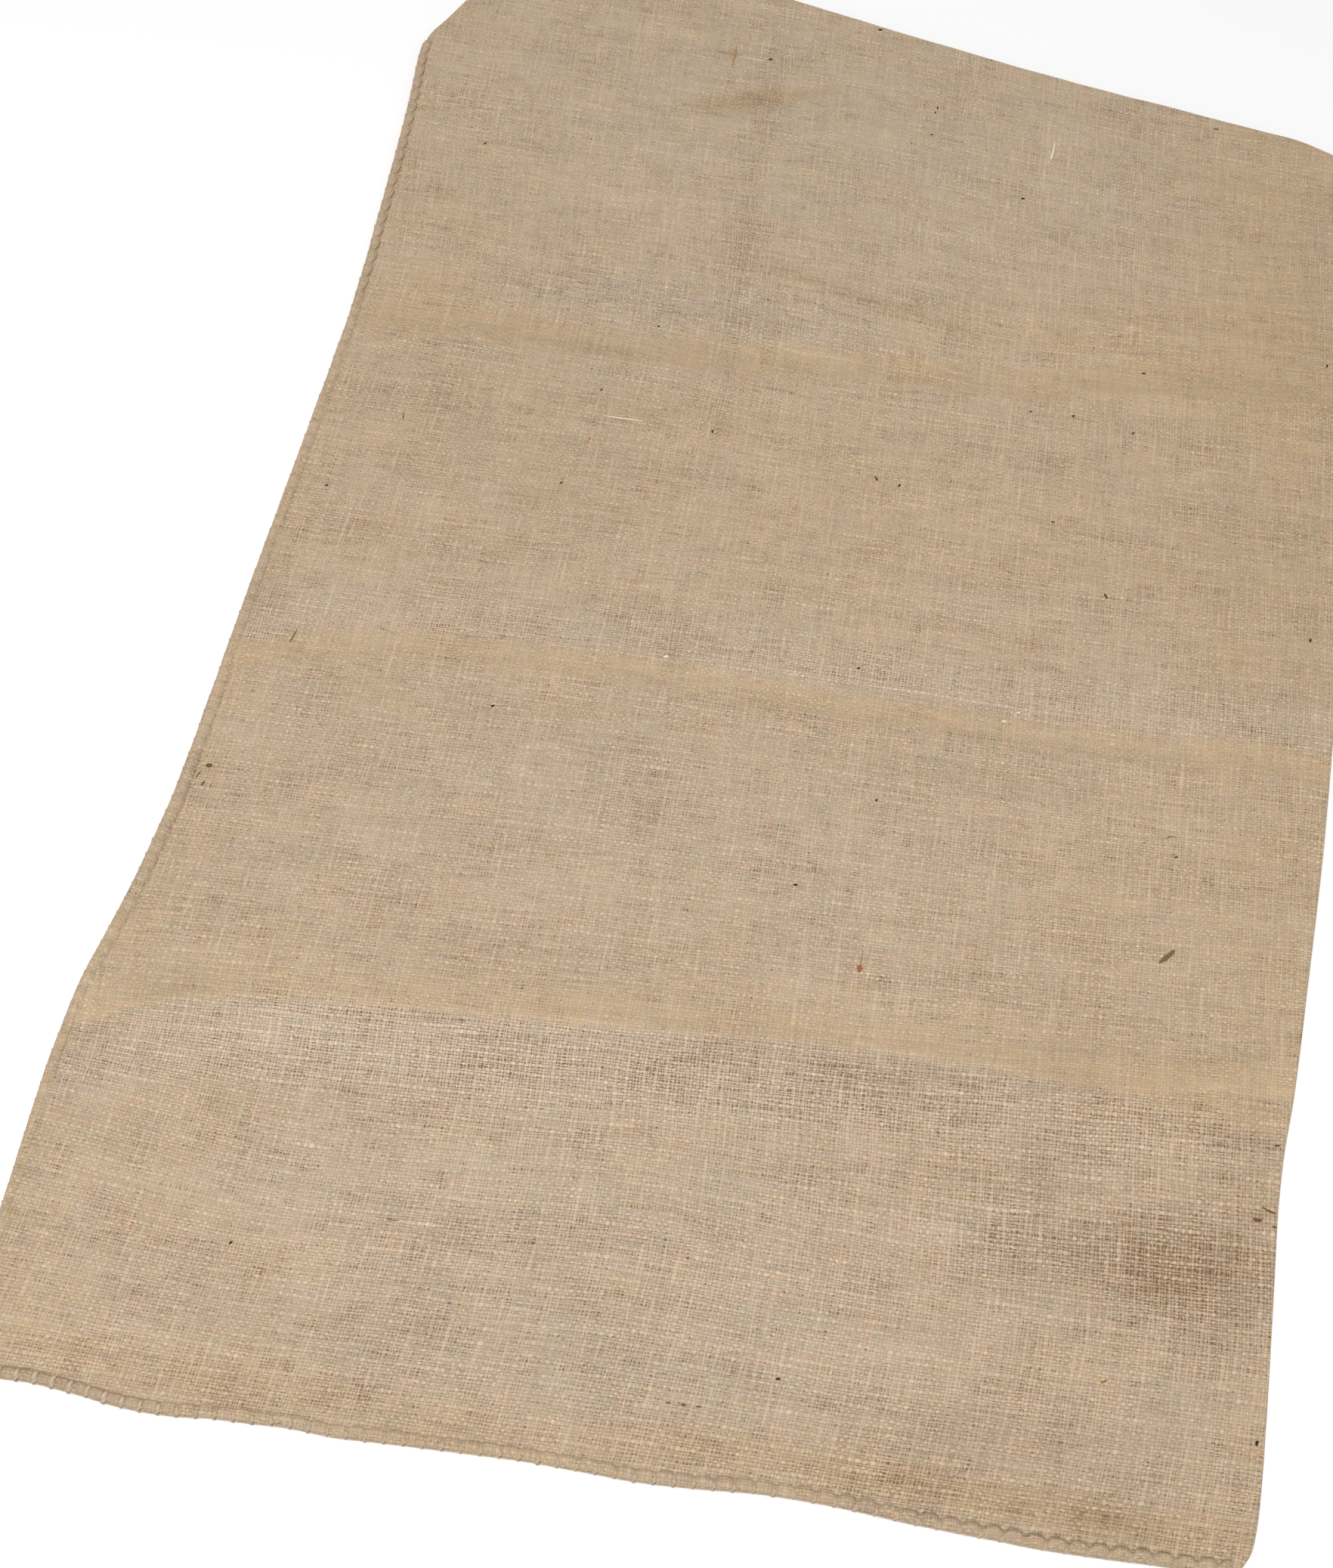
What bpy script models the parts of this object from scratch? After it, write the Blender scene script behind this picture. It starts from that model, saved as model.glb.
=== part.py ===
"""Empty jute sack lying flat on its back: one piece of hessian cloth, folded down its right side,
sewn up its left side and across its bottom, and open at the mouth.

The upper cloth keeps the creases of a sack that was stored folded: one ridge and two valleys run
across it, and two long creases run up it. The lower cloth lies flat on the floor.

Metres, +Z up. X runs across the sack, from the side seam to the side fold. Y runs from the bottom
seam to the mouth. The origin is under the middle of the sack, on the floor.
"""

from bisect import bisect_right
from collections import namedtuple
from math import cos, exp, hypot, pi, sin

import bmesh
import bpy

MM = 0.001

# Driving dimensions
WIDTH = 600 * MM  # side seam to side fold, as the sack is sold
CLOTH = 1.3 * MM  # thickness of the hessian
LYING_HEIGHT = 9.6 * MM  # upper face of the upper cloth, away from edges and creases
EDGE_HEIGHT = 3.2 * MM  # the two cloths pressed together along an edge
EDGE_BULGE = 1.1 * MM  # how far an edge rounds outwards between floor and upper cloth
EDGE_SLOPE = 46 * MM  # how far in from an edge the upper cloth reaches its lying height
SEAM_WIDTH = 12 * MM  # band in which the cut edges are turned in and sewn
SIDE_SEAM_RISE = 1.3 * MM  # what the turned-in edges add to the band's height
BOTTOM_SEAM_RISE = 2.0 * MM
CREASE_ROUNDING = 0.07  # how blunt the top of a crease is, as a share of its slope's length

HESSIAN_COLOUR = (0.52, 0.41, 0.285, 1.0)
HESSIAN_ROUGHNESS = 0.95

# Side edges, in millimetres: how far each one lies outside WIDTH at a place along the sack.
# The upper left corner is folded under, so that edge turns in towards the mouth.
SideRow = namedtuple("SideRow", "along seam_side fold_side")
SIDES = [
    SideRow(along=-535, seam_side=-0.5, fold_side=-25.0),
    SideRow(along=-522, seam_side=4.0, fold_side=-25.0),
    SideRow(along=-509, seam_side=6.0, fold_side=-21.0),
    SideRow(along=-496, seam_side=7.0, fold_side=-13.0),
    SideRow(along=-475, seam_side=7.5, fold_side=-9.5),
    SideRow(along=-430, seam_side=9.0, fold_side=-7.5),
    SideRow(along=-366, seam_side=10.5, fold_side=-6.5),
    SideRow(along=-320, seam_side=9.0, fold_side=-6.0),
    SideRow(along=-290, seam_side=5.0, fold_side=-4.5),
    SideRow(along=-247, seam_side=-0.5, fold_side=0.0),
    SideRow(along=-178, seam_side=-5.0, fold_side=5.0),
    SideRow(along=-76, seam_side=-6.0, fold_side=11.5),
    SideRow(along=57, seam_side=-8.0, fold_side=16.5),
    SideRow(along=170, seam_side=-9.5, fold_side=19.0),
    SideRow(along=290, seam_side=-5.5, fold_side=20.0),
    SideRow(along=385, seam_side=-0.5, fold_side=20.0),
    SideRow(along=432, seam_side=3.0, fold_side=20.0),
    SideRow(along=448, seam_side=0.5, fold_side=19.5),
    SideRow(along=466, seam_side=-6.5, fold_side=19.0),
    SideRow(along=492, seam_side=-16.0, fold_side=18.0),
    SideRow(along=560, seam_side=-41.0, fold_side=16.0),
]

# Lines that cross the sack, in millimetres along it, at even steps from the side seam to the
# side fold. A crease's rise is its height over the lying cloth, and near and far are the lengths
# of its slopes towards the bottom seam and towards the mouth. rows is how many rows of faces lie
# between this line and the next one.
Crossing = namedtuple("Crossing", "name along rise near far rows")
CROSSINGS = [
    Crossing("bottom seam", (-531.0, -532.0, -525.0, -521.0, -514.0, -514.0, -508.0), 0, 1, 1, 14),
    Crossing("lower ridge", (-345.0, -315.5, -303.0, -291.0, -278.0, -276.0, -251.0), 10.5, 96, 32, 13),
    Crossing("middle valley", (-100.0, -73.0, -64.0, -60.0, -56.0, -48.0, -33.0), -2.3, 16, 34, 14),
    Crossing("upper valley", (178.0, 184.5, 192.0, 207.0, 221.0, 252.0, 272.0), -2.1, 22, 30, 15),
    Crossing("mouth", (556.0, 553.0, 544.0, 528.0, 513.0, 502.0, 486.0), 0, 1, 1, 0),
]

# Soft straight creases, in millimetres: from one end to the other, with the rise of the cloth
# along them and half the width that they take.
Crease = namedtuple("Crease", "name x0 y0 x1 y1 rise half_width")
CREASES = [
    Crease("long crease left of the middle", -60, -500, -62, 30, 0.9, 13),
    Crease("long crease to the mouth", -62, 30, -80, 545, 1.6, 13),
    Crease("long crease near the fold", 187, -490, 187, -60, -1.2, 15),
    Crease("short crease by the mouth", -140, 403, -58, 443, -1.8, 15),
    Crease("crease over the upper valley", -70, 277, 62, 257, 1.7, 16),
    Crease("crease by the side seam", -312, -366, -236, -390, -1.5, 16),
    Crease("crease at the bottom seam", -64, -520, -30, -500, -1.6, 14),
]

# Pillows of slack cloth, in millimetres: the middle, the rise there and the half widths.
Swell = namedtuple("Swell", "name x y rise half_across half_along")
SWELLS = [
    Swell("loose weave by the fold", 215, -350, 3.2, 95, 70),
    Swell("under the lower ridge", -60, -370, 1.6, 150, 70),
    Swell("left of the lower ridge", -210, -430, 1.5, 90, 70),
    Swell("over the middle valley", -20, -20, 1.8, 260, 55),
    Swell("below the middle valley", -170, -160, 1.2, 110, 70),
    Swell("right of the middle", 160, -150, 1.3, 120, 80),
    Swell("middle of the sack", 120, 85, 1.5, 140, 90),
    Swell("beside the side seam", -190, 70, 1.2, 90, 90),
    Swell("over the upper valley", -5, 238, 2.6, 80, 42),
    Swell("upper left", -170, 340, 1.4, 110, 110),
    Swell("upper right", 190, 390, 1.6, 110, 90),
]

# Distances in from the edges at which columns of faces are set, in millimetres
SEAM_COLUMNS = (0, 3.5, 8, 12.5, 19, 29, 42)
FOLD_COLUMNS = (0, 3, 8, 16, 29)
MIDDLE_COLUMNS = 22
SEAM_ROWS = (0, 3.5, 8, 12.5, 19, 29)


def smooth(share):
    """0 below 0, 1 above 1, with a soft start and end between them."""
    share = min(1.0, max(0.0, share))
    return share * share * (3 - 2 * share)


def bell(share):
    """1 at 0, falling softly to 0 at 1 and at -1."""
    return 0.5 + 0.5 * cos(pi * min(1.0, abs(share)))


def through(places, values, place):
    """The value at a place, on a smooth curve that never swings past its own points."""
    last = len(places) - 1
    steps = [(values[i + 1] - values[i]) / (places[i + 1] - places[i]) for i in range(last)]

    def slope(i):
        before = steps[max(i - 1, 0)]
        after = steps[min(i, last - 1)]
        return 0.0 if before * after <= 0 else 2 * before * after / (before + after)

    place = min(places[-1], max(places[0], place))
    i = min(bisect_right(places, place), last) - 1
    length = places[i + 1] - places[i]
    t = (place - places[i]) / length
    return (
        (1 + 2 * t) * (1 - t) ** 2 * values[i]
        + t * (1 - t) ** 2 * length * slope(i)
        + t * t * (3 - 2 * t) * values[i + 1]
        - t * t * (1 - t) * length * slope(i + 1)
    )


def seam_edge(y):
    """X of the sewn side at a place along the sack."""
    offset = through([row.along for row in SIDES], [row.seam_side for row in SIDES], y / MM)
    return -WIDTH / 2 - offset * MM


def fold_edge(y):
    """X of the folded side at a place along the sack."""
    offset = through([row.along for row in SIDES], [row.fold_side for row in SIDES], y / MM)
    return WIDTH / 2 + offset * MM


def crossing_y(crossing, across):
    """Y of a crossing line, where across runs from 0 at the side seam to 1 at the side fold."""
    steps = len(crossing.along) - 1
    return through([i / steps for i in range(steps + 1)], crossing.along, across) * MM


def crossing_rise(crossing, across, y):
    """How far a crossing crease lifts the upper cloth at a point."""
    beyond = (y - crossing_y(crossing, across)) / MM
    share = abs(beyond) / (crossing.near if beyond < 0 else crossing.far)
    blunt = hypot(share, CREASE_ROUNDING)
    return crossing.rise * MM * max(0.0, 1 - blunt) ** 2


def crease_rise(crease, x, y):
    """How far a soft straight crease lifts the upper cloth at a point."""
    dx = crease.x1 - crease.x0
    dy = crease.y1 - crease.y0
    length = hypot(dx, dy)
    along = ((x / MM - crease.x0) * dx + (y / MM - crease.y0) * dy) / length
    aside = ((x / MM - crease.x0) * dy - (y / MM - crease.y0) * dx) / length
    fade = smooth(along / 25 + 0.5) * smooth((length - along) / 25 + 0.5)
    return crease.rise * MM * fade * bell(aside / crease.half_width)


def swell_rise(swell, x, y):
    """How far a pillow of slack cloth lifts the upper cloth at a point."""
    across = (x / MM - swell.x) / swell.half_across
    along = (y / MM - swell.y) / swell.half_along
    return swell.rise * MM * exp(-1.6 * (across * across + along * along))


def upper_height(across, y):
    """Height of the upper cloth's upper face at a point of the sack."""
    left = seam_edge(y)
    right = fold_edge(y)
    x = left + across * (right - left)
    from_seam = x - left
    from_fold = right - x
    from_bottom = y - crossing_y(CROSSINGS[0], across)
    open_up = smooth(from_seam / EDGE_SLOPE) * smooth(from_fold / EDGE_SLOPE)
    open_up *= smooth(from_bottom / EDGE_SLOPE)
    relief = sum(crossing_rise(crossing, across, y) for crossing in CROSSINGS)
    relief += sum(crease_rise(crease, x, y) for crease in CREASES)
    relief += sum(swell_rise(swell, x, y) for swell in SWELLS)
    seam_middle = SEAM_WIDTH / 2
    side_roll = SIDE_SEAM_RISE * bell((from_seam - seam_middle) / seam_middle)
    bottom_roll = BOTTOM_SEAM_RISE * bell((from_bottom - seam_middle) / seam_middle)
    return EDGE_HEIGHT + (LYING_HEIGHT - EDGE_HEIGHT + relief) * open_up + max(side_roll, bottom_roll)


def column_shares(left, right):
    """Places of the columns across the sack at one height, from 0 at the seam to 1 at the fold."""
    width = (right - left) / MM
    from_seam = list(SEAM_COLUMNS)
    from_fold = [width - distance for distance in reversed(FOLD_COLUMNS)]
    gap = from_fold[0] - from_seam[-1]
    middle = [from_seam[-1] + gap * i / MIDDLE_COLUMNS for i in range(1, MIDDLE_COLUMNS)]
    return [distance / width for distance in from_seam + middle + from_fold]


def row_places():
    """Rows along the sack as (crossing line below, share of the way to the next line).

    The rows are close together near every line, where the creases bend the cloth.
    """
    places = []
    for index, crossing in enumerate(CROSSINGS[:-1]):
        shares = [0.5 - 0.5 * cos(pi * i / crossing.rows) for i in range(crossing.rows)]
        if index == 0:
            length = (CROSSINGS[1].along[3] - CROSSINGS[0].along[3])
            seam_shares = [distance / length for distance in SEAM_ROWS]
            shares = seam_shares + [share for share in shares if share > seam_shares[-1] * 1.25]
        places += [(index, share) for share in shares]
    return places + [(len(CROSSINGS) - 2, 1.0)]


def row_points(index, share):
    """The points of one row of the upper cloth, from the side seam to the side fold."""
    middle_y = crossing_y(CROSSINGS[index], 0.5)
    points = []
    for across in column_shares(seam_edge(middle_y), fold_edge(middle_y)):
        near = crossing_y(CROSSINGS[index], across)
        far = crossing_y(CROSSINGS[index + 1], across)
        y = near + share * (far - near)
        left = seam_edge(y)
        x = left + across * (fold_edge(y) - left)
        points.append((x, y, upper_height(across, y)))
    return points


def add_upper_cloth(mesh):
    """Adds the upper cloth's grid of faces and returns its rows of vertices."""
    rows = [[mesh.verts.new(point) for point in row_points(*place)] for place in row_places()]
    for near, far in zip(rows, rows[1:]):
        for i in range(len(near) - 1):
            mesh.faces.new((near[i], near[i + 1], far[i + 1], far[i]))
    return rows


def outward(before, after):
    """The level direction that points out of the sack, for an edge that runs round it clockwise."""
    dx = after.co.x - before.co.x
    dy = after.co.y - before.co.y
    length = hypot(dx, dy)
    return (-dy / length, dx / length)


def add_lower_cloth(mesh, rows):
    """Adds the rounded edge on three sides and the flat cloth on the floor, open at the mouth."""
    left = [row[0] for row in reversed(rows)]
    right = [row[-1] for row in rows]
    rim = left + rows[0][1:-1] + right
    middle_ring = []
    floor_ring = []
    for i, vert in enumerate(rim):
        out = outward(rim[min(i + 1, len(rim) - 1)], rim[max(i - 1, 0)])
        middle_height = vert.co.z * 0.5
        bulged = (vert.co.x + out[0] * EDGE_BULGE, vert.co.y + out[1] * EDGE_BULGE, middle_height)
        middle_ring.append(mesh.verts.new(bulged))
        floor_ring.append(mesh.verts.new((vert.co.x, vert.co.y, 0.0)))
    for upper, lower in ((rim, middle_ring), (middle_ring, floor_ring)):
        for i in range(len(rim) - 1):
            mesh.faces.new((upper[i], lower[i], lower[i + 1], upper[i + 1]))
    mouth = [mesh.verts.new((vert.co.x, vert.co.y, 0.0)) for vert in reversed(rows[-1][1:-1])]
    mesh.faces.new(list(reversed(floor_ring + mouth)))


def centre_on_floor(mesh):
    """Moves the sack so that the origin lies under the middle of its box."""
    xs = [vert.co.x for vert in mesh.verts]
    ys = [vert.co.y for vert in mesh.verts]
    shift = (-(min(xs) + max(xs)) / 2, -(min(ys) + max(ys)) / 2, 0.0)
    bmesh.ops.translate(mesh, verts=mesh.verts, vec=shift)


def hessian():
    """Material of the bare woven cloth."""
    material = bpy.data.materials.new("hessian")
    material.use_nodes = True
    shader = material.node_tree.nodes["Principled BSDF"]
    shader.inputs["Base Color"].default_value = HESSIAN_COLOUR
    shader.inputs["Roughness"].default_value = HESSIAN_ROUGHNESS
    return material


def make_sack():
    """The whole sack: a bag-shaped outer face, given the cloth's thickness inwards."""
    bag = bmesh.new()
    rows = add_upper_cloth(bag)
    add_lower_cloth(bag, rows)
    centre_on_floor(bag)
    data = bpy.data.meshes.new("sack_cloth")
    bag.to_mesh(data)
    bag.free()
    data.materials.append(hessian())
    sack = bpy.data.objects.new("sack_cloth", data)
    bpy.context.collection.objects.link(sack)
    thickness = sack.modifiers.new("cloth thickness", "SOLIDIFY")
    thickness.thickness = CLOTH
    thickness.offset = -1
    thickness.use_even_offset = True
    return sack


def clear_scene():
    for obj in list(bpy.data.objects):
        bpy.data.objects.remove(obj)


clear_scene()
make_sack()
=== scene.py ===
"""Looks of an empty jute sack that lies on its back: woven hessian with the folds it was stored in,
sewn hems on its left side and across its bottom, their stitches, a knotted yarn end, bark specks,
and a plain studio round it.

Metres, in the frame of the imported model: X runs across the sack, from the side seam to the side
fold, and Y from the bottom seam to the mouth. The tables give places in millimetres on a plan whose
zero lies a little off the model's origin, as PLAN_MIDDLE says.
"""

from collections import namedtuple
from math import cos, pi, radians, sin

import bmesh
import bpy
import numpy as np
from bpy.props import FloatProperty, FloatVectorProperty, PointerProperty
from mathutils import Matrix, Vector, noise


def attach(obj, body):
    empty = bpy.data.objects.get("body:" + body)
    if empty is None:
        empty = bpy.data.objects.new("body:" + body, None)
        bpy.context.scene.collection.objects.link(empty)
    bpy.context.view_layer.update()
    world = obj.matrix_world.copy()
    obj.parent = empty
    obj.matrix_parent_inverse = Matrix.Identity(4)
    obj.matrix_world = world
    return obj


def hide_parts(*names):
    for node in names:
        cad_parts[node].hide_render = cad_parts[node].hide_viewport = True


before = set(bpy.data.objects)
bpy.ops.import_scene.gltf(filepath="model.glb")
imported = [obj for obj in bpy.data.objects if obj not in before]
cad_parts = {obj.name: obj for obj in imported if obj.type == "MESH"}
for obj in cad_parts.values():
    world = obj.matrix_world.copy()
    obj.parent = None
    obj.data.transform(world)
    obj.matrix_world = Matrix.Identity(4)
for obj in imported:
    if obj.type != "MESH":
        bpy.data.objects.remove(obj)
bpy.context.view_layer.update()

bl_info = {
    "name": "Jute sack",
    "version": (1, 0, 0),
    "blender": (4, 5, 0),
    "location": "3D View > Sidebar > Sack",
    "description": "Dresses the packed sack with woven cloth, hems, stitches and a plain studio",
    "category": "Object",
}

MM = 0.001
BODY = "root"
CLOTH_NODE = "sack_cloth"
PLAN_MIDDLE = (4.75 * MM, 11.647 * MM)

# ------------------------------------------------------------ the sack's plan, as in its solid

WIDTH = 600 * MM
LYING_HEIGHT = 9.6 * MM
EDGE_HEIGHT = 3.2 * MM
EDGE_BULGE = 1.1 * MM
EDGE_SLOPE = 46 * MM
EDGE_RIPPLES = 0.15  # share of the ripples that is left at the edges
CREASE_ROUNDING = 0.07
CREASE_FADE = 25  # millimetres over which a straight crease fades at its ends
SWELL_FALL = 1.6  # how fast a pillow falls off from its middle

# Side edges: how far each one lies outside WIDTH at a place along the sack
SideRow = namedtuple("SideRow", "along seam_side fold_side")
SIDES = [
    SideRow(-535, -0.5, -25.0),
    SideRow(-522, 4.0, -25.0),
    SideRow(-509, 6.0, -16.5),
    SideRow(-496, 7.0, -11.4),
    SideRow(-475, 7.5, -9.0),
    SideRow(-430, 9.0, -7.5),
    SideRow(-366, 10.5, -6.5),
    SideRow(-320, 9.0, -6.0),
    SideRow(-290, 5.0, -4.5),
    SideRow(-247, -0.5, 0.0),
    SideRow(-178, -5.0, 5.0),
    SideRow(-76, -6.0, 11.5),
    SideRow(57, -8.0, 16.5),
    SideRow(170, -9.5, 19.0),
    SideRow(290, -5.5, 20.0),
    SideRow(385, -0.5, 20.0),
    SideRow(432, 3.0, 20.0),
    SideRow(448, 0.5, 19.5),
    SideRow(466, -6.5, 19.0),
    SideRow(492, -16.0, 18.0),
    SideRow(560, -41.0, 16.0),
]

# Lines that cross the sack, at even steps from the side seam to the side fold. A crease's rise is
# its height over the lying cloth, and near and far are the lengths of its slopes towards the
# bottom seam and towards the mouth.
Crossing = namedtuple("Crossing", "name along rise near far")
CROSSINGS = [
    Crossing("bottom seam", (-531.0, -532.0, -525.0, -521.0, -514.0, -514.0, -508.0), 0, 1, 1),
    Crossing("lower ridge", (-345.0, -315.5, -303.0, -291.0, -278.0, -276.0, -251.0), 10.5, 96, 32),
    Crossing("middle valley", (-100.0, -73.0, -64.0, -60.0, -56.0, -48.0, -33.0), -2.3, 16, 34),
    Crossing("upper valley", (178.0, 184.5, 192.0, 207.0, 221.0, 252.0, 272.0), -2.1, 22, 30),
    Crossing("mouth", (556.0, 553.0, 544.0, 528.0, 513.0, 500.8, 491.0), 0, 1, 1),
]
BOTTOM, RIDGE, MIDDLE_VALLEY, UPPER_VALLEY = CROSSINGS[:4]

# Soft straight creases, from one end to the other, with half the width that they take
Crease = namedtuple("Crease", "name x0 y0 x1 y1 rise half_width")
CREASES = [
    Crease("long crease left of the middle", -60, -500, -62, 30, 0.9, 13),
    Crease("long crease to the mouth", -62, 30, -80, 545, 1.6, 13),
    Crease("long crease near the fold", 187, -490, 187, -60, -1.2, 15),
    Crease("short crease by the mouth", -140, 403, -58, 443, -1.8, 15),
    Crease("crease over the upper valley", -70, 277, 62, 257, 1.7, 16),
    Crease("crease by the side seam", -312, -366, -236, -390, -1.5, 16),
    Crease("crease at the bottom seam", -64, -520, -30, -500, -1.6, 14),
]

# Pillows of slack cloth: the middle, the rise there and the half widths
Swell = namedtuple("Swell", "name x y rise half_across half_along")
SWELLS = [
    Swell("loose weave by the fold", 215, -350, 3.2, 95, 70),
    Swell("under the lower ridge", -60, -370, 1.6, 150, 70),
    Swell("left of the lower ridge", -210, -430, 1.5, 90, 70),
    Swell("over the middle valley", -20, -20, 1.8, 260, 55),
    Swell("below the middle valley", -170, -160, 1.2, 110, 70),
    Swell("right of the middle", 160, -150, 1.3, 120, 80),
    Swell("middle of the sack", 120, 85, 1.5, 140, 90),
    Swell("beside the side seam", -190, 70, 1.2, 90, 90),
    Swell("over the upper valley", -5, 238, 2.6, 80, 42),
    Swell("upper left", -170, 340, 1.4, 110, 110),
    Swell("upper right", 190, 390, 1.6, 110, 90),
]

# ------------------------------------------------------------ what the solid leaves to the looks

# Ripples of the slack cloth: height, wave lengths across and along the sack, and turn in degrees
LAYER_STEP = 3.7  # between the noise of one row of this table and the next
Ripple = namedtuple("Ripple", "name height across along turn")
RIPPLES = [
    Ripple("weft ripples", 0.50, 170, 24, 4),
    Ripple("cockling", 0.14, 48, 40, 0),
    Ripple("warp ripples", 0.16, 24, 260, -1),
    Ripple("fine puckers", 0.09, 44, 9, 3),
]

# Lines that weft yarns follow, at even steps across the plan from 300 mm left to 300 mm right of
# its middle, each with the length of cloth that lies below it
WeftRun = namedtuple("WeftRun", "cloth along")
WEFT_RUNS = [
    WeftRun(-522, (-535, -531, -526, -521, -517, -513, -509)),
    WeftRun(-380, (-392, -398, -390, -380, -380, -374, -366)),
    WeftRun(-300, (-330, -319, -309, -300, -290, -278, -268)),
    WeftRun(-65, (-80, -73, -66, -61, -57, -52, -42)),
    WeftRun(20, (-6, 0, 11, 20, 22, 28, 35)),
    WeftRun(180, (174, 178, 179, 176, 180, 182, 188)),
    WeftRun(265, (258, 262, 266, 268, 261, 270, 283)),
    WeftRun(352, (342, 346, 352, 357, 350, 349, 358)),
    WeftRun(408, (402, 405, 409, 413, 407, 403, 408)),
    WeftRun(560, (552, 556, 560, 561, 558, 554, 552)),
]
RUN_STATIONS = (-300, -200, -100, 0, 100, 200, 300)

# How far the warp yarns have drifted sideways, at three places across the sack
WarpDrift = namedtuple("WarpDrift", "along left middle right")
WARP_DRIFTS = [
    WarpDrift(-535, 1, 6, 11),
    WarpDrift(-450, -4, -2, 1),
    WarpDrift(-395, -5, -4, -2),
    WarpDrift(-345, -4, -3, -1),
    WarpDrift(-295, 0, 0, 0),
    WarpDrift(200, 0, 2, 2),
    WarpDrift(280, 6, 5, 3),
    WarpDrift(360, 15, 9, 6),
    WarpDrift(560, 29, 15, 8),
]
DRIFT_STATION = 250  # the left and right places lie this far from the middle

# The warp lies closer together left of the long crease than right of it
CLOSENESS_STATIONS = (-340, -85, -30, 340)
CLOSENESS_SHIFTS = (-12.5, 0, 0, -15.5)

# Bands beside the creases: how soft their edges are, in millimetres, how far the yarns have spread,
# or closed up below zero, how light they are, and how golden at the seam's end and at the fold's
# end, or how grey below zero. Their lightness is painted light and shade of the creases' slopes,
# and their grey a painted sheen on the slopes that face the light.
Band = namedtuple("Band", "crossing start end soft_start soft_end loose tone gold_left gold_right")
BANDS = [
    Band(RIDGE, -58, 1, 26, 5, 1.0, 0.9, -1.7, -0.5),
    Band(RIDGE, -4, 26, 6, 12, -0.85, 1.7, 0.8, 1.6),
    Band(RIDGE, 14, 48, 10, 18, -0.3, 0.3, 0.2, 0.5),
    Band(MIDDLE_VALLEY, -14, 15, 10, 8, -0.7, -0.55, 1.4, 1.2),
    Band(MIDDLE_VALLEY, 8, 56, 8, 22, 0.6, 1.3, -0.9, -1.1),
    Band(UPPER_VALLEY, -22, 14, 12, 6, -0.65, -1.25, 1.4, 1.2),
    Band(BOTTOM, 4, 30, 8, 12, 0.35, -0.55, 0.6, 1.2),
]
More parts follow.
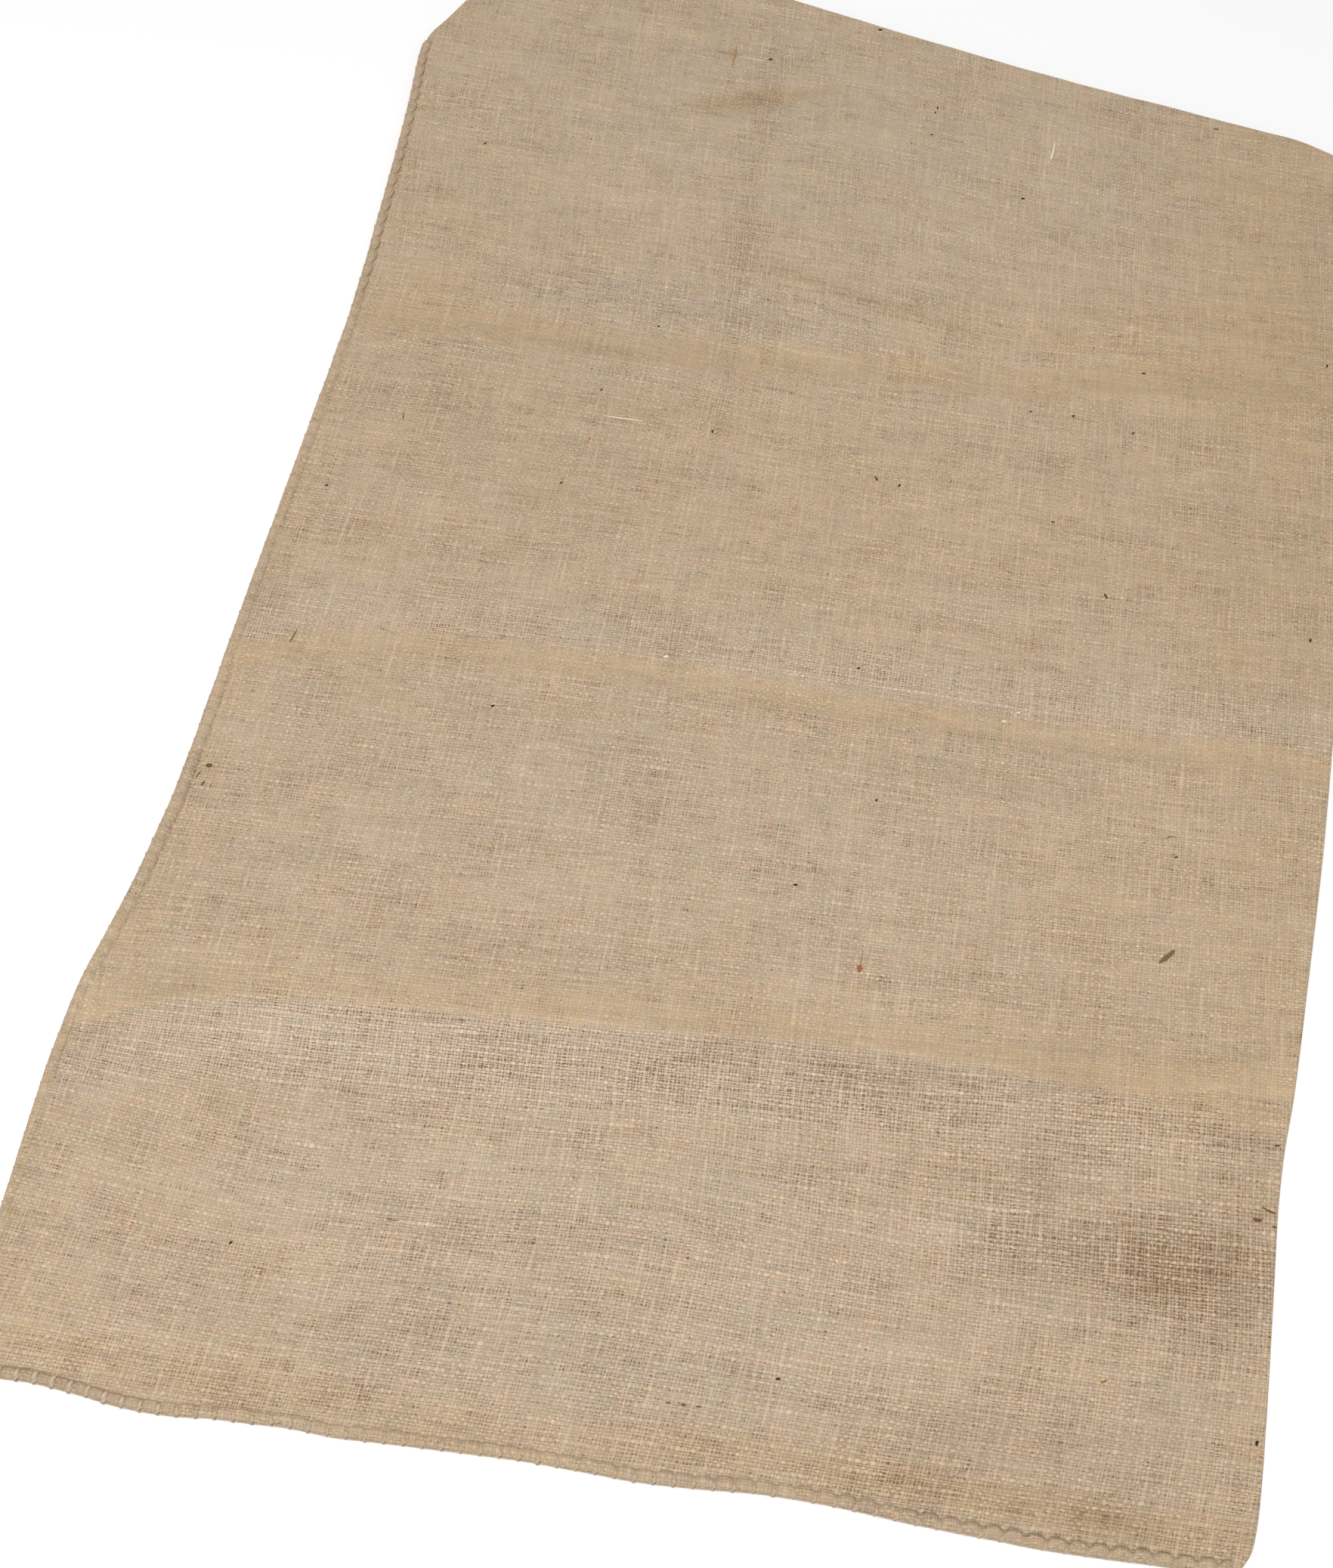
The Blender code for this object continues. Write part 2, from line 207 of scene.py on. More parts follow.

# Places where the yarns have spread, and where the cloth is lighter, darker, golden or grey: its
# own tone and stains, and painted light and shade round the lower ridge, the upper valley and the
# wrinkle by the mouth. They fade towards their edges as these two numbers say.
PATCH_FALL = 1.2
PATCH_EDGE = 2.5
Patch = namedtuple("Patch", "name x y half_across half_along turn loose tone gold")
PATCHES = [
    Patch("upper part", -50, 420, 250, 120, 0, -0.4, -0.1, -0.9),
    Patch("upper right", 262, 360, 62, 210, 0, -0.2, -1.0, 1.3),
    Patch("right of the upper valley", 225, 262, 110, 60, 14, -0.3, -0.5, 1.1),
    Patch("right margin", 285, 20, 42, 300, 0, -0.1, -0.2, 0.9),
    Patch("right margin, middle", 272, 110, 44, 110, 0, 0.0, -1.1, 0.0),
    # From here to the patch below the lower ridge by the fold: painted light and shade on the lower
    # ridge's slopes
    Patch("right part of the lower ridge", 195, -250, 95, 17, 5, 0.0, -1.4, 0.0),
    Patch("over the ridge's left end", -268, -323, 60, 14, 11, 0.0, -1.7, 0.0),
    Patch("left end of the lower ridge", -284, -342, 28, 13, 20, -0.2, 0.5, 1.1),
    Patch("under the ridge's left end", -250, -353, 52, 17, 8, 0.1, 1.4, 0.5),
    Patch("further under the ridge's left end", -248, -380, 58, 22, 8, 0.0, 0.8, 0.2),
    Patch("below the lower ridge, left", -160, -327, 105, 26, 3, 0.4, 3.0, -0.6),
    Patch("below the lower ridge, middle", 0, -315, 90, 24, 3, 0.6, 2.0, -0.5),
    Patch("below the lower ridge by the fold", 262, -270, 52, 12, 6, -1.2, -0.4, 2.2),
    Patch("dark rows by the fold", 245, -287, 42, 5, 4, 0.6, -1.4, 0.0),
    Patch("loose weave, left part", 168, -360, 32, 40, 0, 1.1, -0.9, -0.3),
    Patch("over the bottom seam, middle", -20, -480, 150, 34, 4, 0.2, -0.5, -0.7),
    Patch("over the bottom seam, right", 200, -482, 95, 36, 4, 0.3, -1.5, 0.0),
    Patch("middle part", 0, 95, 290, 80, 2, -0.25, -0.25, 0.5),
    Patch("middle part, left", -165, 105, 135, 95, 0, 0.0, -0.9, 0.0),
    Patch("middle part, right", 205, 110, 75, 75, 0, 0.0, -0.7, 0.2),
    Patch("below the middle valley", -60, -170, 230, 85, 3, 0.0, 0.25, -0.7),
    Patch("below the middle valley, right", 215, -165, 75, 90, 3, 0.0, 0.0, 0.5),
    Patch("lower quarter", -30, -410, 240, 85, 2, 0.45, 1.3, -1.1),
    Patch("lower quarter, left", -190, -440, 120, 70, 0, 0.0, 0.45, 0.0),
    Patch("side margin", -300, 0, 20, 420, 1, 0.0, -0.1, 0.9),
    Patch("gold beside the side seam", -250, 205, 40, 26, 0, -0.2, -0.3, 1.3),
    Patch("loose weave by the fold", 250, -364, 80, 37, 9, 2.1, -1.1, -0.3),
    Patch("dark middle of the loose weave", 257, -359, 54, 18, 11, 0.8, -1.6, 0.6),
    # Painted shade in the wrinkle
    Patch("wrinkle by the mouth", -80, 435, 52, 9, 25, 0.4, -4.2, 2.6),
    # From here to the crease near the fold: painted light over the upper valley, and painted shade
    # along its creases
    Patch("over the upper valley", -6, 236, 48, 24, 0, 0.5, 0.8, -1.0),
    Patch("left over the upper valley", -115, 230, 85, 26, 2, 0.4, 0.3, -1.6),
    Patch("crease over the upper valley", 10, 264, 56, 5, -9, 0.2, -4.0, 1.6),
    Patch("crease near the fold", 120, 262, 70, 10, 8, 0.0, -0.5, 1.2),
    Patch("below the lower ridge", 88, -292, 40, 8, 6, 0.5, -1.0, 0.0),
    Patch("long crease, middle", -58, -20, 7, 60, 0, 0.5, -0.2, 0.0),
    Patch("long crease, upper part", -65, 250, 9, 130, 4, 1.2, 0.1, -0.3),
    Patch("long crease by the mouth", -74, 440, 9, 100, 4, 0.9, 0.0, 0.0),
    Patch("long crease near the fold", 193, -300, 8, 190, 0, 0.2, -0.7, 0.2),
    Patch("bottom, right", 200, -497, 100, 13, 0, 0.5, -0.8, 0.6),
    Patch("bottom, left", -190, -492, 90, 20, 0, 0.3, -0.2, 0.0),
    Patch("dark rows at the bottom", 217, -495, 15, 4, 0, 0.4, -2.6, 1.2),
    Patch("stain right of the middle", 217, 85, 14, 9, 0, 0.0, -0.4, 1.4),
    Patch("stain below it", 255, 30, 12, 9, 0, 0.0, -0.4, 1.4),
    Patch("stain round a speck", 288, -446, 9, 6, 0, 0.0, -1.8, 1.4),
]

# Thick, light yarns, or thin, dark ones where the tint is below zero: which way they run, their
# place on the plan and their reach to both sides
Slub = namedtuple("Slub", "weft x y reach tint")
SLUBS = [
    Slub(True, -138, -417, 52, 0.8),
    Slub(True, 205, -341, 85, 0.6),
    Slub(True, 150, -352, 34, 0.6),
    Slub(True, 225, -490, 60, 0.45),
    Slub(True, 40, 208, 100, 0.6),
    Slub(True, -190, 345, 52, 0.7),
    Slub(True, -165, 505, 40, 0.6),
    Slub(True, -250, 276, 40, 0.6),
    Slub(True, -70, 128, 12, 0.4),
    Slub(True, 60, -38, 120, 0.5),
    # From here to the row at -110 mm: thinner weft rows along the crease over the upper valley,
    # darkened as a painted line of shade
    Slub(True, -62, 275, 17, -1.0),
    Slub(True, -30, 270, 20, -1.2),
    Slub(True, 4, 266, 20, -1.2),
    Slub(True, 36, 260, 18, -1.1),
    Slub(True, 62, 257, 14, -0.8),
    Slub(True, -110, 271, 14, -0.7),
    Slub(True, 100, -293, 34, -0.9),
    Slub(True, 88, -289, 26, -0.8),
    Slub(False, 117, 440, 42, 1.0),
    Slub(False, -61, 150, 30, 0.9),
    Slub(False, -174, 372, 34, 0.7),
    Slub(False, -182, 236, 30, 0.6),
    Slub(False, 150, -330, 60, 0.5),
]


# ------------------------------------------------------------ shape of the upper cloth


def smooth(share):
    """0 below 0, 1 above 1, with a soft start and end between them."""
    share = np.clip(share, 0.0, 1.0)
    return share * share * (3 - 2 * share)


def bell(share):
    """1 at 0, falling softly to 0 at 1 and at -1."""
    return 0.5 + 0.5 * np.cos(pi * np.minimum(1.0, np.abs(share)))


def column(rows, name):
    """One column of a table."""
    return [getattr(row, name) for row in rows]


def through(places, values, at):
    """The values at some places, on a smooth curve that never swings past its own points."""
    places = np.asarray(places, float)
    values = np.asarray(values, float)
    steps = np.diff(values) / np.diff(places)
    before = np.concatenate([steps[:1], steps])
    after = np.concatenate([steps, steps[-1:]])
    turning = before * after <= 0
    slopes = np.where(turning, 0.0, 2 * before * after / np.where(turning, 1.0, before + after))
    at = np.clip(at, places[0], places[-1])
    i = np.clip(np.searchsorted(places, at, side="right") - 1, 0, len(steps) - 1)
    length = places[i + 1] - places[i]
    t = (at - places[i]) / length
    return (
        (1 + 2 * t) * (1 - t) ** 2 * values[i]
        + t * (1 - t) ** 2 * length * slopes[i]
        + t * t * (3 - 2 * t) * values[i + 1]
        - t * t * (1 - t) * length * slopes[i + 1]
    )


def seam_edge(y):
    """X of the sewn side at places along the sack."""
    return -WIDTH / 2 - MM * through(column(SIDES, "along"), column(SIDES, "seam_side"), y / MM)


def fold_edge(y):
    """X of the folded side at places along the sack."""
    return WIDTH / 2 + MM * through(column(SIDES, "along"), column(SIDES, "fold_side"), y / MM)


def across_at(x, y):
    """Share of the way from the side seam to the side fold."""
    left = seam_edge(y)
    return (x - left) / (fold_edge(y) - left)


def crossing_y(crossing, across):
    """Y of a crossing line."""
    return MM * through(np.linspace(0, 1, len(crossing.along)), crossing.along, across)


def crossing_rise(crossing, beyond):
    """How far a crossing crease lifts the cloth, at distances beyond its line."""
    length = np.where(beyond < 0, crossing.near, crossing.far) * MM
    blunt = np.hypot(beyond / length, CREASE_ROUNDING)
    return crossing.rise * MM * np.maximum(0.0, 1 - blunt) ** 2


def crease_rise(crease, x, y):
    """How far a soft straight crease lifts the cloth."""
    run = np.array((crease.x1 - crease.x0, crease.y1 - crease.y0), float)
    length = np.hypot(*run)
    from_start = np.stack((x / MM - crease.x0, y / MM - crease.y0), -1)
    along = from_start @ run / length
    aside = from_start @ np.array((run[1], -run[0])) / length
    fade = smooth(along / CREASE_FADE + 0.5) * smooth((length - along) / CREASE_FADE + 0.5)
    return crease.rise * MM * fade * bell(aside / crease.half_width)


def swell_rise(swell, x, y):
    """How far a pillow of slack cloth lifts the cloth."""
    across = (x / MM - swell.x) / swell.half_across
    along = (y / MM - swell.y) / swell.half_along
    return swell.rise * MM * np.exp(-SWELL_FALL * (across * across + along * along))


def turned(x, y, angle):
    """Places in axes that are turned by an angle in degrees."""
    c = cos(radians(angle))
    s = sin(radians(angle))
    return x * c + y * s, y * c - x * s


def ripples(x, y, height):
    """Height of the slack cloth's ripples, where height 1 is how deep they usually are."""
    total = np.zeros_like(x)
    for index, ripple in enumerate(RIPPLES):
        xs, ys = turned(x, y, ripple.turn)
        xs = np.ravel(xs) / (ripple.across * MM)
        ys = np.ravel(ys) / (ripple.along * MM)
        waves = [noise.noise((a, b, LAYER_STEP * index)) for a, b in zip(xs, ys)]
        total += 2 * ripple.height * MM * np.reshape(waves, np.shape(x))
    return height * total


def upper_height(x, y, ripple_height):
    """Height of the upper cloth's upper face over the floor, before the hems are laid on it."""
    across = across_at(x, y)
    from_seam = x - seam_edge(y)
    from_fold = fold_edge(y) - x
    from_bottom = y - crossing_y(BOTTOM, across)
    open_up = smooth(from_seam / EDGE_SLOPE) * smooth(from_fold / EDGE_SLOPE)
    open_up *= smooth(from_bottom / EDGE_SLOPE)
    beyond = [y - crossing_y(crossing, across) for crossing in CROSSINGS]
    relief = sum(crossing_rise(crossing, far) for crossing, far in zip(CROSSINGS, beyond))
    relief += sum(crease_rise(crease, x, y) for crease in CREASES)
    relief += sum(swell_rise(swell, x, y) for swell in SWELLS)
    waves = ripples(x, y, ripple_height) * (EDGE_RIPPLES + (1 - EDGE_RIPPLES) * open_up)
    return EDGE_HEIGHT + (LYING_HEIGHT - EDGE_HEIGHT + relief) * open_up + waves


# ------------------------------------------------------------ where the yarns run

# Yarns and small marks are placed on a level plan this high, looked at from one point
PLAN_HEIGHT = 8 * MM
PLAN_EYE = (-4 * MM, -1051 * MM, 1210 * MM)


def seen_on_plan(x, y, z):
    """Where points of the cloth appear on the level plan."""
    share = (z - PLAN_HEIGHT) / (PLAN_EYE[2] - z)
    return x + (x - PLAN_EYE[0]) * share, y + (y - PLAN_EYE[1]) * share


def under_plan(x, y, ripple_height):
    """The points of the cloth that appear at places of the level plan."""
    z = PLAN_HEIGHT
    for _ in range(3):
        share = (PLAN_EYE[2] - z) / (PLAN_EYE[2] - PLAN_HEIGHT)
        x_there = PLAN_EYE[0] + (x - PLAN_EYE[0]) * share
        y_there = PLAN_EYE[1] + (y - PLAN_EYE[1]) * share
        z = upper_height(x_there, y_there, ripple_height)
    return x_there, y_there, z


def cloth_place(x, y):
    """Lengths of cloth that points of the upper cloth lie at: along the weft and along the warp."""
    along = column(WARP_DRIFTS, "along")
    left, middle, right = [
        through(along, column(WARP_DRIFTS, name), y / MM) for name in ("left", "middle", "right")
    ]
    share = np.clip(x / MM / DRIFT_STATION, -1, 1)
    drift = np.where(share < 0, middle + (middle - left) * share, middle + (right - middle) * share)
    u = x + MM * (drift + through(CLOSENESS_STATIONS, CLOSENESS_SHIFTS, x / MM))
    lines = [MM * through(RUN_STATIONS, run.along, x / MM) for run in WEFT_RUNS]
    v = np.full_like(x, WEFT_RUNS[0].cloth * MM) + np.minimum(0, y - lines[0])
    for i in range(len(WEFT_RUNS) - 1):
        share = np.clip((y - lines[i]) / (lines[i + 1] - lines[i]), 0, 1)
        v += share * (WEFT_RUNS[i + 1].cloth - WEFT_RUNS[i].cloth) * MM
    return u, v + np.maximum(0, y - lines[-1])


# The tone holds the cloth's own lighter and darker places, and painted light and shade: on the
# creases' slopes and over the hems' rolls and grooves
STATES = ("loose", "tone", "gold")


def cloth_state(x, y):
    """How far the yarns have spread at some points, how light the cloth is, and how golden."""
    across = across_at(x, y)
    total = np.zeros((len(STATES), *x.shape))
    for band in BANDS:
        beyond = (y - crossing_y(band.crossing, across)) / MM
        here = smooth((beyond - band.start) / band.soft_start)
        here *= smooth((band.end - beyond) / band.soft_end)
        gold = band.gold_left + (band.gold_right - band.gold_left) * across
        total += here * np.stack([np.full_like(x, band.loose), np.full_like(x, band.tone), gold])
    for patch in PATCHES:
        aside, ahead = turned(x / MM - patch.x, y / MM - patch.y, patch.turn)
        reach = np.hypot(aside / patch.half_across, ahead / patch.half_along)
        here = np.exp(-PATCH_FALL * reach**PATCH_EDGE)
        total += np.multiply.outer((patch.loose, patch.tone, patch.gold), here)
    return total


SLUB_STATES = ("weft_slub", "warp_slub")
SLUB_STEP = 4  # one yarn in this many can be thick or thin
SLUB_SPREAD = 7 * MM  # how far the mesh holds a slub's amount on both sides of its yarn
SLUB_FADE = 0.3  # share of a slub's reach over which it fades out


def slub_state(u, v):
    """How much of a thick or thin yarn there is near some places of the cloth: weft, then warp."""
    total = np.zeros((len(SLUB_STATES), *u.shape))
    for slub in SLUBS:
        start = cloth_place(np.array([slub.x * MM]), np.array([slub.y * MM]))
        count = WEFT_COUNT if slub.weft else WARP_COUNT
        across, along = (v, u) if slub.weft else (u, v)
        here, middle = (start[1], start[0]) if slub.weft else start
        yarn = SLUB_STEP * np.round((here * count - 0.5) / SLUB_STEP)
        beside = bell((across - (yarn + 0.5) / count) / SLUB_SPREAD)
        near = smooth((slub.reach * MM - np.abs(along - middle)) / (SLUB_FADE * slub.reach * MM))
        total[0 if slub.weft else 1] += slub.tint * near * beside
    return total


# ------------------------------------------------------------ helpers for meshes


def deselect_all():
    """Leaves nothing selected, so that the next operator acts only on what it adds."""
    bpy.ops.object.select_all(action="DESELECT")


def make_active(piece):
    """Selects a piece alone."""
    deselect_all()
    piece.select_set(True)
    bpy.context.view_layer.objects.active = piece


def on_plan(points):
    """Points of the plan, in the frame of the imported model."""
    return np.asarray(points, float) - (*PLAN_MIDDLE, 0.0)


def new_piece(name, points, faces, material):
    """A mesh piece from points on the plan and faces that point outwards."""
    data = bpy.data.meshes.new(name)
    data.from_pydata(on_plan(points).tolist(), [], [list(face) for face in faces])
    data.materials.append(material)
    piece = bpy.data.objects.new(name, data)
    bpy.context.scene.collection.objects.link(piece)
    return piece


def give_uv(piece, name, per_corner):
    """Sets a UV map, with one pair of values for each face corner."""
    layer = piece.data.uv_layers.new(name=name)
    layer.data.foreach_set("uv", np.asarray(per_corner, np.float32).ravel())


def give_values(piece, name, per_point):
    """Sets an attribute, with one number for each point."""
    attribute = piece.data.attributes.new(name, "FLOAT", "POINT")
    attribute.data.foreach_set("value", np.asarray(per_point, np.float32).ravel())


def corner_points(piece):
    """Index of the point at each face corner."""
    found = np.empty(len(piece.data.loops), np.int32)
    piece.data.loops.foreach_get("vertex_index", found)
    return found


def face_outwards(piece):
    """Recalculates the normals of a closed piece."""
    mesh = bmesh.new()
    mesh.from_mesh(piece.data)
    bmesh.ops.recalc_face_normals(mesh, faces=mesh.faces)
    mesh.to_mesh(piece.data)
    mesh.free()


# Edges sharper than this many degrees stay sharp
SHEET_ANGLE = 38
LUMPY_ANGLE = 60
YARN_ANGLE = 80


def finish_piece(piece, angle):
    """Smooth shading, and a place on the sack's body."""
    make_active(piece)
    bpy.ops.object.shade_smooth_by_angle(angle=radians(angle))
    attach(piece, BODY)
    return piece


# ------------------------------------------------------------ shader maths


class Wire:
    """An output socket, with arithmetic that adds Math nodes."""

    def __init__(self, board, socket):
        self.board = board
        self.socket = socket

    def math(self, operation, *values):
        return self.board.node("ShaderNodeMath", {"operation": operation}, values)

    def __add__(self, other):
        return self.math("ADD", self, other)

    def __radd__(self, other):
        return self.math("ADD", other, self)

    def __sub__(self, other):
        return self.math("SUBTRACT", self, other)

    def __rsub__(self, other):
        return self.math("SUBTRACT", other, self)

    def __mul__(self, other):
        return self.math("MULTIPLY", self, other)

    def __rmul__(self, other):
        return self.math("MULTIPLY", other, self)

    def floor(self):
        return self.math("FLOOR", self)

    def size(self):
        return self.math("ABSOLUTE", self)

    def cosine(self):
        return self.math("COSINE", self)

    def sine(self):
        return self.math("SINE", self)

    def most(self, other):
        return self.math("MAXIMUM", self, other)

    def above(self, other):
        return self.math("GREATER_THAN", self, other)

    def swing(self, amount):
        """Noise moved to lie round 0, times an amount."""
        return (self - 0.5) * amount

    def ramp(self, start, end, kind="SMOOTHSTEP"):
        """0 at start and 1 at end, held beyond them."""
        settings = {"interpolation_type": kind}
        values = {"Value": self, "From Min": start, "From Max": end, "To Min": 0.0, "To Max": 1.0}
        return self.board.node("ShaderNodeMapRange", settings, values)


class Board:
    """A material's node tree, and the one way in which nodes are added to it."""

    def __init__(self, name):
        self.material = bpy.data.materials.new(name)
        self.material.use_nodes = True
        self.tree = self.material.node_tree
        self.shader = self.tree.nodes["Principled BSDF"]

    def node(self, kind, settings=None, values=(), output=0):
        """An output of a new node, which gets its settings and its sockets' values or wires."""
        node = self.tree.nodes.new(kind)
        for setting, value in (settings or {}).items():
            setattr(node, setting, value)
        pairs = values.items() if isinstance(values, dict) else enumerate(values)
        for place, value in pairs:
            self.feed(node.inputs[place], value)
        return Wire(self, node.outputs[output])

    def feed(self, socket, value):
        """Links a wire to a socket, or sets the socket's own value."""
        if isinstance(value, Wire):
            self.tree.links.new(value.socket, socket)
        else:
            socket.default_value = value

    def point(self, x, y, z=0.0):
        return self.node("ShaderNodeCombineXYZ", None, (x, y, z))

    def noise(self, point, detail=1.0, output=0):
        """Flat noise, whose scale is in its point."""
        settings = {"noise_dimensions": "2D"}
        values = {"Vector": point, "Scale": 1.0, "Detail": detail, "Roughness": 0.5}
        return self.node("ShaderNodeTexNoise", settings, values, output)

    def grain(self, scale):
        """Noise through the whole piece, on its Object coordinates."""
        place = self.node("ShaderNodeTexCoord", None, (), 3)
        values = {"Vector": place, "Scale": scale, "Detail": 2.0}
        return self.node("ShaderNodeTexNoise", None, values)

    def attribute(self, name):
        """A number that the mesh holds at its points."""
        return self.node("ShaderNodeAttribute", {"attribute_name": name}, (), 2)

    def cloth_place(self):
        """The two directions of the piece's own UV map."""
        uv = self.node("ShaderNodeUVMap", {"uv_map": "cloth"})
        return self.outputs(self.node("ShaderNodeSeparateXYZ", None, (uv,)))[:2]

    def outputs(self, first):
        """All outputs of the node that a wire comes from."""
        return [Wire(self, output) for output in first.socket.node.outputs]

    def mix(self, share, first, second, blend="MIX"):
        """A colour between two colours."""
        settings = {"data_type": "RGBA", "blend_type": blend, "clamp_factor": True}
        return self.node("ShaderNodeMix", settings, {0: share, 6: first, 7: second}, 2)

    def parts(self, colour):
        """The three channels of a colour, as numbers."""
        return self.outputs(self.node("ShaderNodeSeparateColor", None, (colour,)))

    def shaded(self, colour, *light):
        """A colour times the light on it, which is one number or one for each channel."""
        channels = light if len(light) == 3 else light * 3
        shade = self.node("ShaderNodeCombineColor", None, channels)
        return self.mix(1.0, colour, shade, "MULTIPLY")

    def finish(self, colour, roughness, height, depth):
        """Feeds the shader: its colour and roughness, and a bump of some depth in metres."""
        self.feed(self.shader.inputs["Base Color"], colour)
        self.feed(self.shader.inputs["Roughness"], roughness)
        self.shader.inputs["Specular IOR Level"].default_value = DRY_SHEEN
        values = {"Strength": BUMP_STRENGTH, "Distance": depth, "Height": height}
        self.feed(self.shader.inputs["Normal"], self.node("ShaderNodeBump", None, values))
        return self.material


# ------------------------------------------------------------ materials

# What multiplies a place in metres before noise is the noise's scale, in waves to the metre

WARP_COUNT = 575.0  # yarns to the metre
WEFT_COUNT = 548.0
WEAVE_DEPTH = 0.45 * MM
PLY_DEPTH = 0.3 * MM
DRY_ROUGHNESS = 0.93
DRY_SHEEN = 0.25
BUMP_STRENGTH = 0.75
TONE_STEP = 0.045  # brightness of one step of the tables' tone
GOLD_STEP = 0.25  # share of golden yarn in one step of the tables' gold


def slub_amount(cloth, name, yarn):
    """How much of a thick or thin yarn there is, on the one yarn in a few that can be one."""
    step = yarn.math("FLOORED_MODULO", yarn, float(SLUB_STEP))
    return cloth.attribute(name) * (1.0 - step.above(0.5))


def half_width(middle, thick, slub, hair, narrowing):
    """Half of a yarn's width, as a share of the room that it has."""
    return middle + thick.swing(0.30) + slub * 0.10 + hair.swing(0.34) - narrowing


def cover(half, off):
    """1 on a yarn and 0 beside it, with a hairy edge, at distances off its middle."""
    return (half - off).ramp(-0.13, 0.13)


def roundness(off):
    """Height of a round yarn at distances off its middle."""
    return 1.0 - off * off * 4.0


def woven_jute(settings):
    """Plain-woven jute: flat hairy yarns, thick and thin, with painted shade where four meet."""
    cloth = Board("woven jute")
    u, v = cloth.cloth_place()
    loose, tone, gold = [cloth.attribute(name) for name in STATES]

    # Yarns lie unevenly: each row wanders a little over lengths of 50 to 100 mm
    wander_u = cloth.noise(cloth.point(u * 330.0, v * 30.0), 0.0)
    wander_v = cloth.noise(cloth.point(u * 30.0 + 40.0, v * 330.0), 0.0)
    hairs = cloth.noise(cloth.point(u * 520.0, v * 520.0), 1.0, 1)
    warp_hair, weft_hair, knot_hair = cloth.parts(hairs)
    across = u * WARP_COUNT + wander_u.swing(1.1) + weft_hair.swing(0.55)
    along = v * WEFT_COUNT + wander_v.swing(1.1) + warp_hair.swing(0.55)
    warp = across.floor()
    weft = along.floor()
    off_warp = (across - warp - 0.5).size()
    off_weft = (along - weft - 0.5).size()

    # Each yarn has its own colour and thickness, which change along it
    warp_noise = cloth.noise(cloth.point(warp * 7.31, v * 34.0), 1.0, 1)
    weft_noise = cloth.noise(cloth.point(u * 46.0, weft * 7.31 + 40.0), 1.0, 1)
    warp_light, warp_thick, warp_hue = cloth.parts(warp_noise)
    weft_light, weft_thick, weft_hue = cloth.parts(weft_noise)
    warp_slub = slub_amount(cloth, "warp_slub", warp)
    weft_slub = slub_amount(cloth, "weft_slub", weft)

    # Slack and close places, 15 to 60 mm across, and soft streaks many yarns wide
    patches = cloth.noise(cloth.point(u * 17.0, v * 30.0), 1.0, 1)
    patch_light, patch_warm, patch_loose = cloth.parts(patches)
    warp_streaks = cloth.noise(cloth.point(u * 70.0, v * 5.0), 0.0)
    weft_streaks = cloth.noise(cloth.point(u * 5.0 + 40.0, v * 80.0), 0.0)
    opened = (0.55 + loose * 0.36 + patch_loose.swing(0.9)).ramp(0.0, 1.6, "LINEAR") * 1.6
    spread = (opened - 0.5) * 0.13
    thin_weft = weft_thick.ramp(0.40, 0.29)
    thin_warp = warp_thick.ramp(0.38, 0.28)
    warp_half = half_width(0.405, warp_thick, warp_slub, warp_hair, spread + thin_warp * 0.10)
    weft_half = half_width(0.395, weft_thick, weft_slub, weft_hair, spread + thin_weft * 0.09)
    warp_cover = cover(warp_half, off_warp)
    weft_cover = cover(weft_half, off_weft)

    # The warp is on top in every other crossing, and each yarn dips where it goes under
    rise = (across * pi).sine() * (along * pi).sine()
    on_top = rise.ramp(-0.45, 0.45)
    warp_round = roundness(off_warp)
    weft_round = roundness(off_weft)
    weft_fibres = cloth.point(u * 420.0, v * 4200.0)
    warp_fibres = cloth.point(u * 4200.0, v * 420.0)
    fibre_point = cloth.mix(on_top, weft_fibres, warp_fibres)
    fibres = cloth.noise(fibre_point, 1.0)
    relief = (warp_round * on_top + weft_round * (1.0 - on_top)) * 0.4
    relief = relief + rise.size() * 0.6 + fibres.swing(0.25)
    warp_front = on_top * (1.0 - weft_slub * 0.6)
    warp_front = warp_cover * (warp_front + (1.0 - warp_front) * (1.0 - weft_cover))
    weft_front = 1.0 - warp_front
    hole = (1.0 - warp_cover) * (1.0 - weft_cover)
    warp_height = (warp_round * 0.4 + rise.most(0.0) * 0.6) * warp_cover
    weft_height = (weft_round * 0.4 + (0.0 - rise).most(0.0) * 0.6) * weft_cover
    height = warp_height * warp_front + weft_height * weft_front + fibres.swing(0.25)

    light = warp_light * warp_front + weft_light * weft_front
    hue = warp_hue * warp_front + weft_hue * weft_front
    slub = warp_slub * warp_front + weft_slub * weft_front
    crossing = cloth.point(warp, weft)
    knuckle = cloth.node("ShaderNodeTexWhiteNoise", {"noise_dimensions": "2D"}, (crossing,))
    contrast = settings.yarn_contrast * (0.55 + 0.45 * opened)
    brightness = 0.97 + light.swing(contrast) + fibres.swing(0.28)
    clear = 0.4 + 0.6 * opened
    brightness = brightness + (knuckle.swing(0.16) + knot_hair.swing(0.36)) * clear
    brightness = brightness + warp_streaks.swing(0.05) + weft_streaks.swing(0.08)
    # The tone adds painted light and shade of the creases and hems to the cloth's own tone
    brightness = brightness + patch_light.swing(0.04) + slub * 0.22 + tone * TONE_STEP
    # Painted highlight: knuckles of the weft are lighter than those of the warp, as the lamp lights
    # their rounded sides
    brightness = brightness + (0.5 - warp_front) * 0.15 * clear - thin_weft * 0.04
    brightness = brightness.most(0.12)
    # The gold also holds a grey sheen painted on crease slopes that face the light
    golden = 0.5 + gold * GOLD_STEP + hue.swing(0.9) + patch_warm.swing(0.4)
    tan = cloth.mix(golden, tuple(settings.grey_jute), tuple(settings.golden_jute))
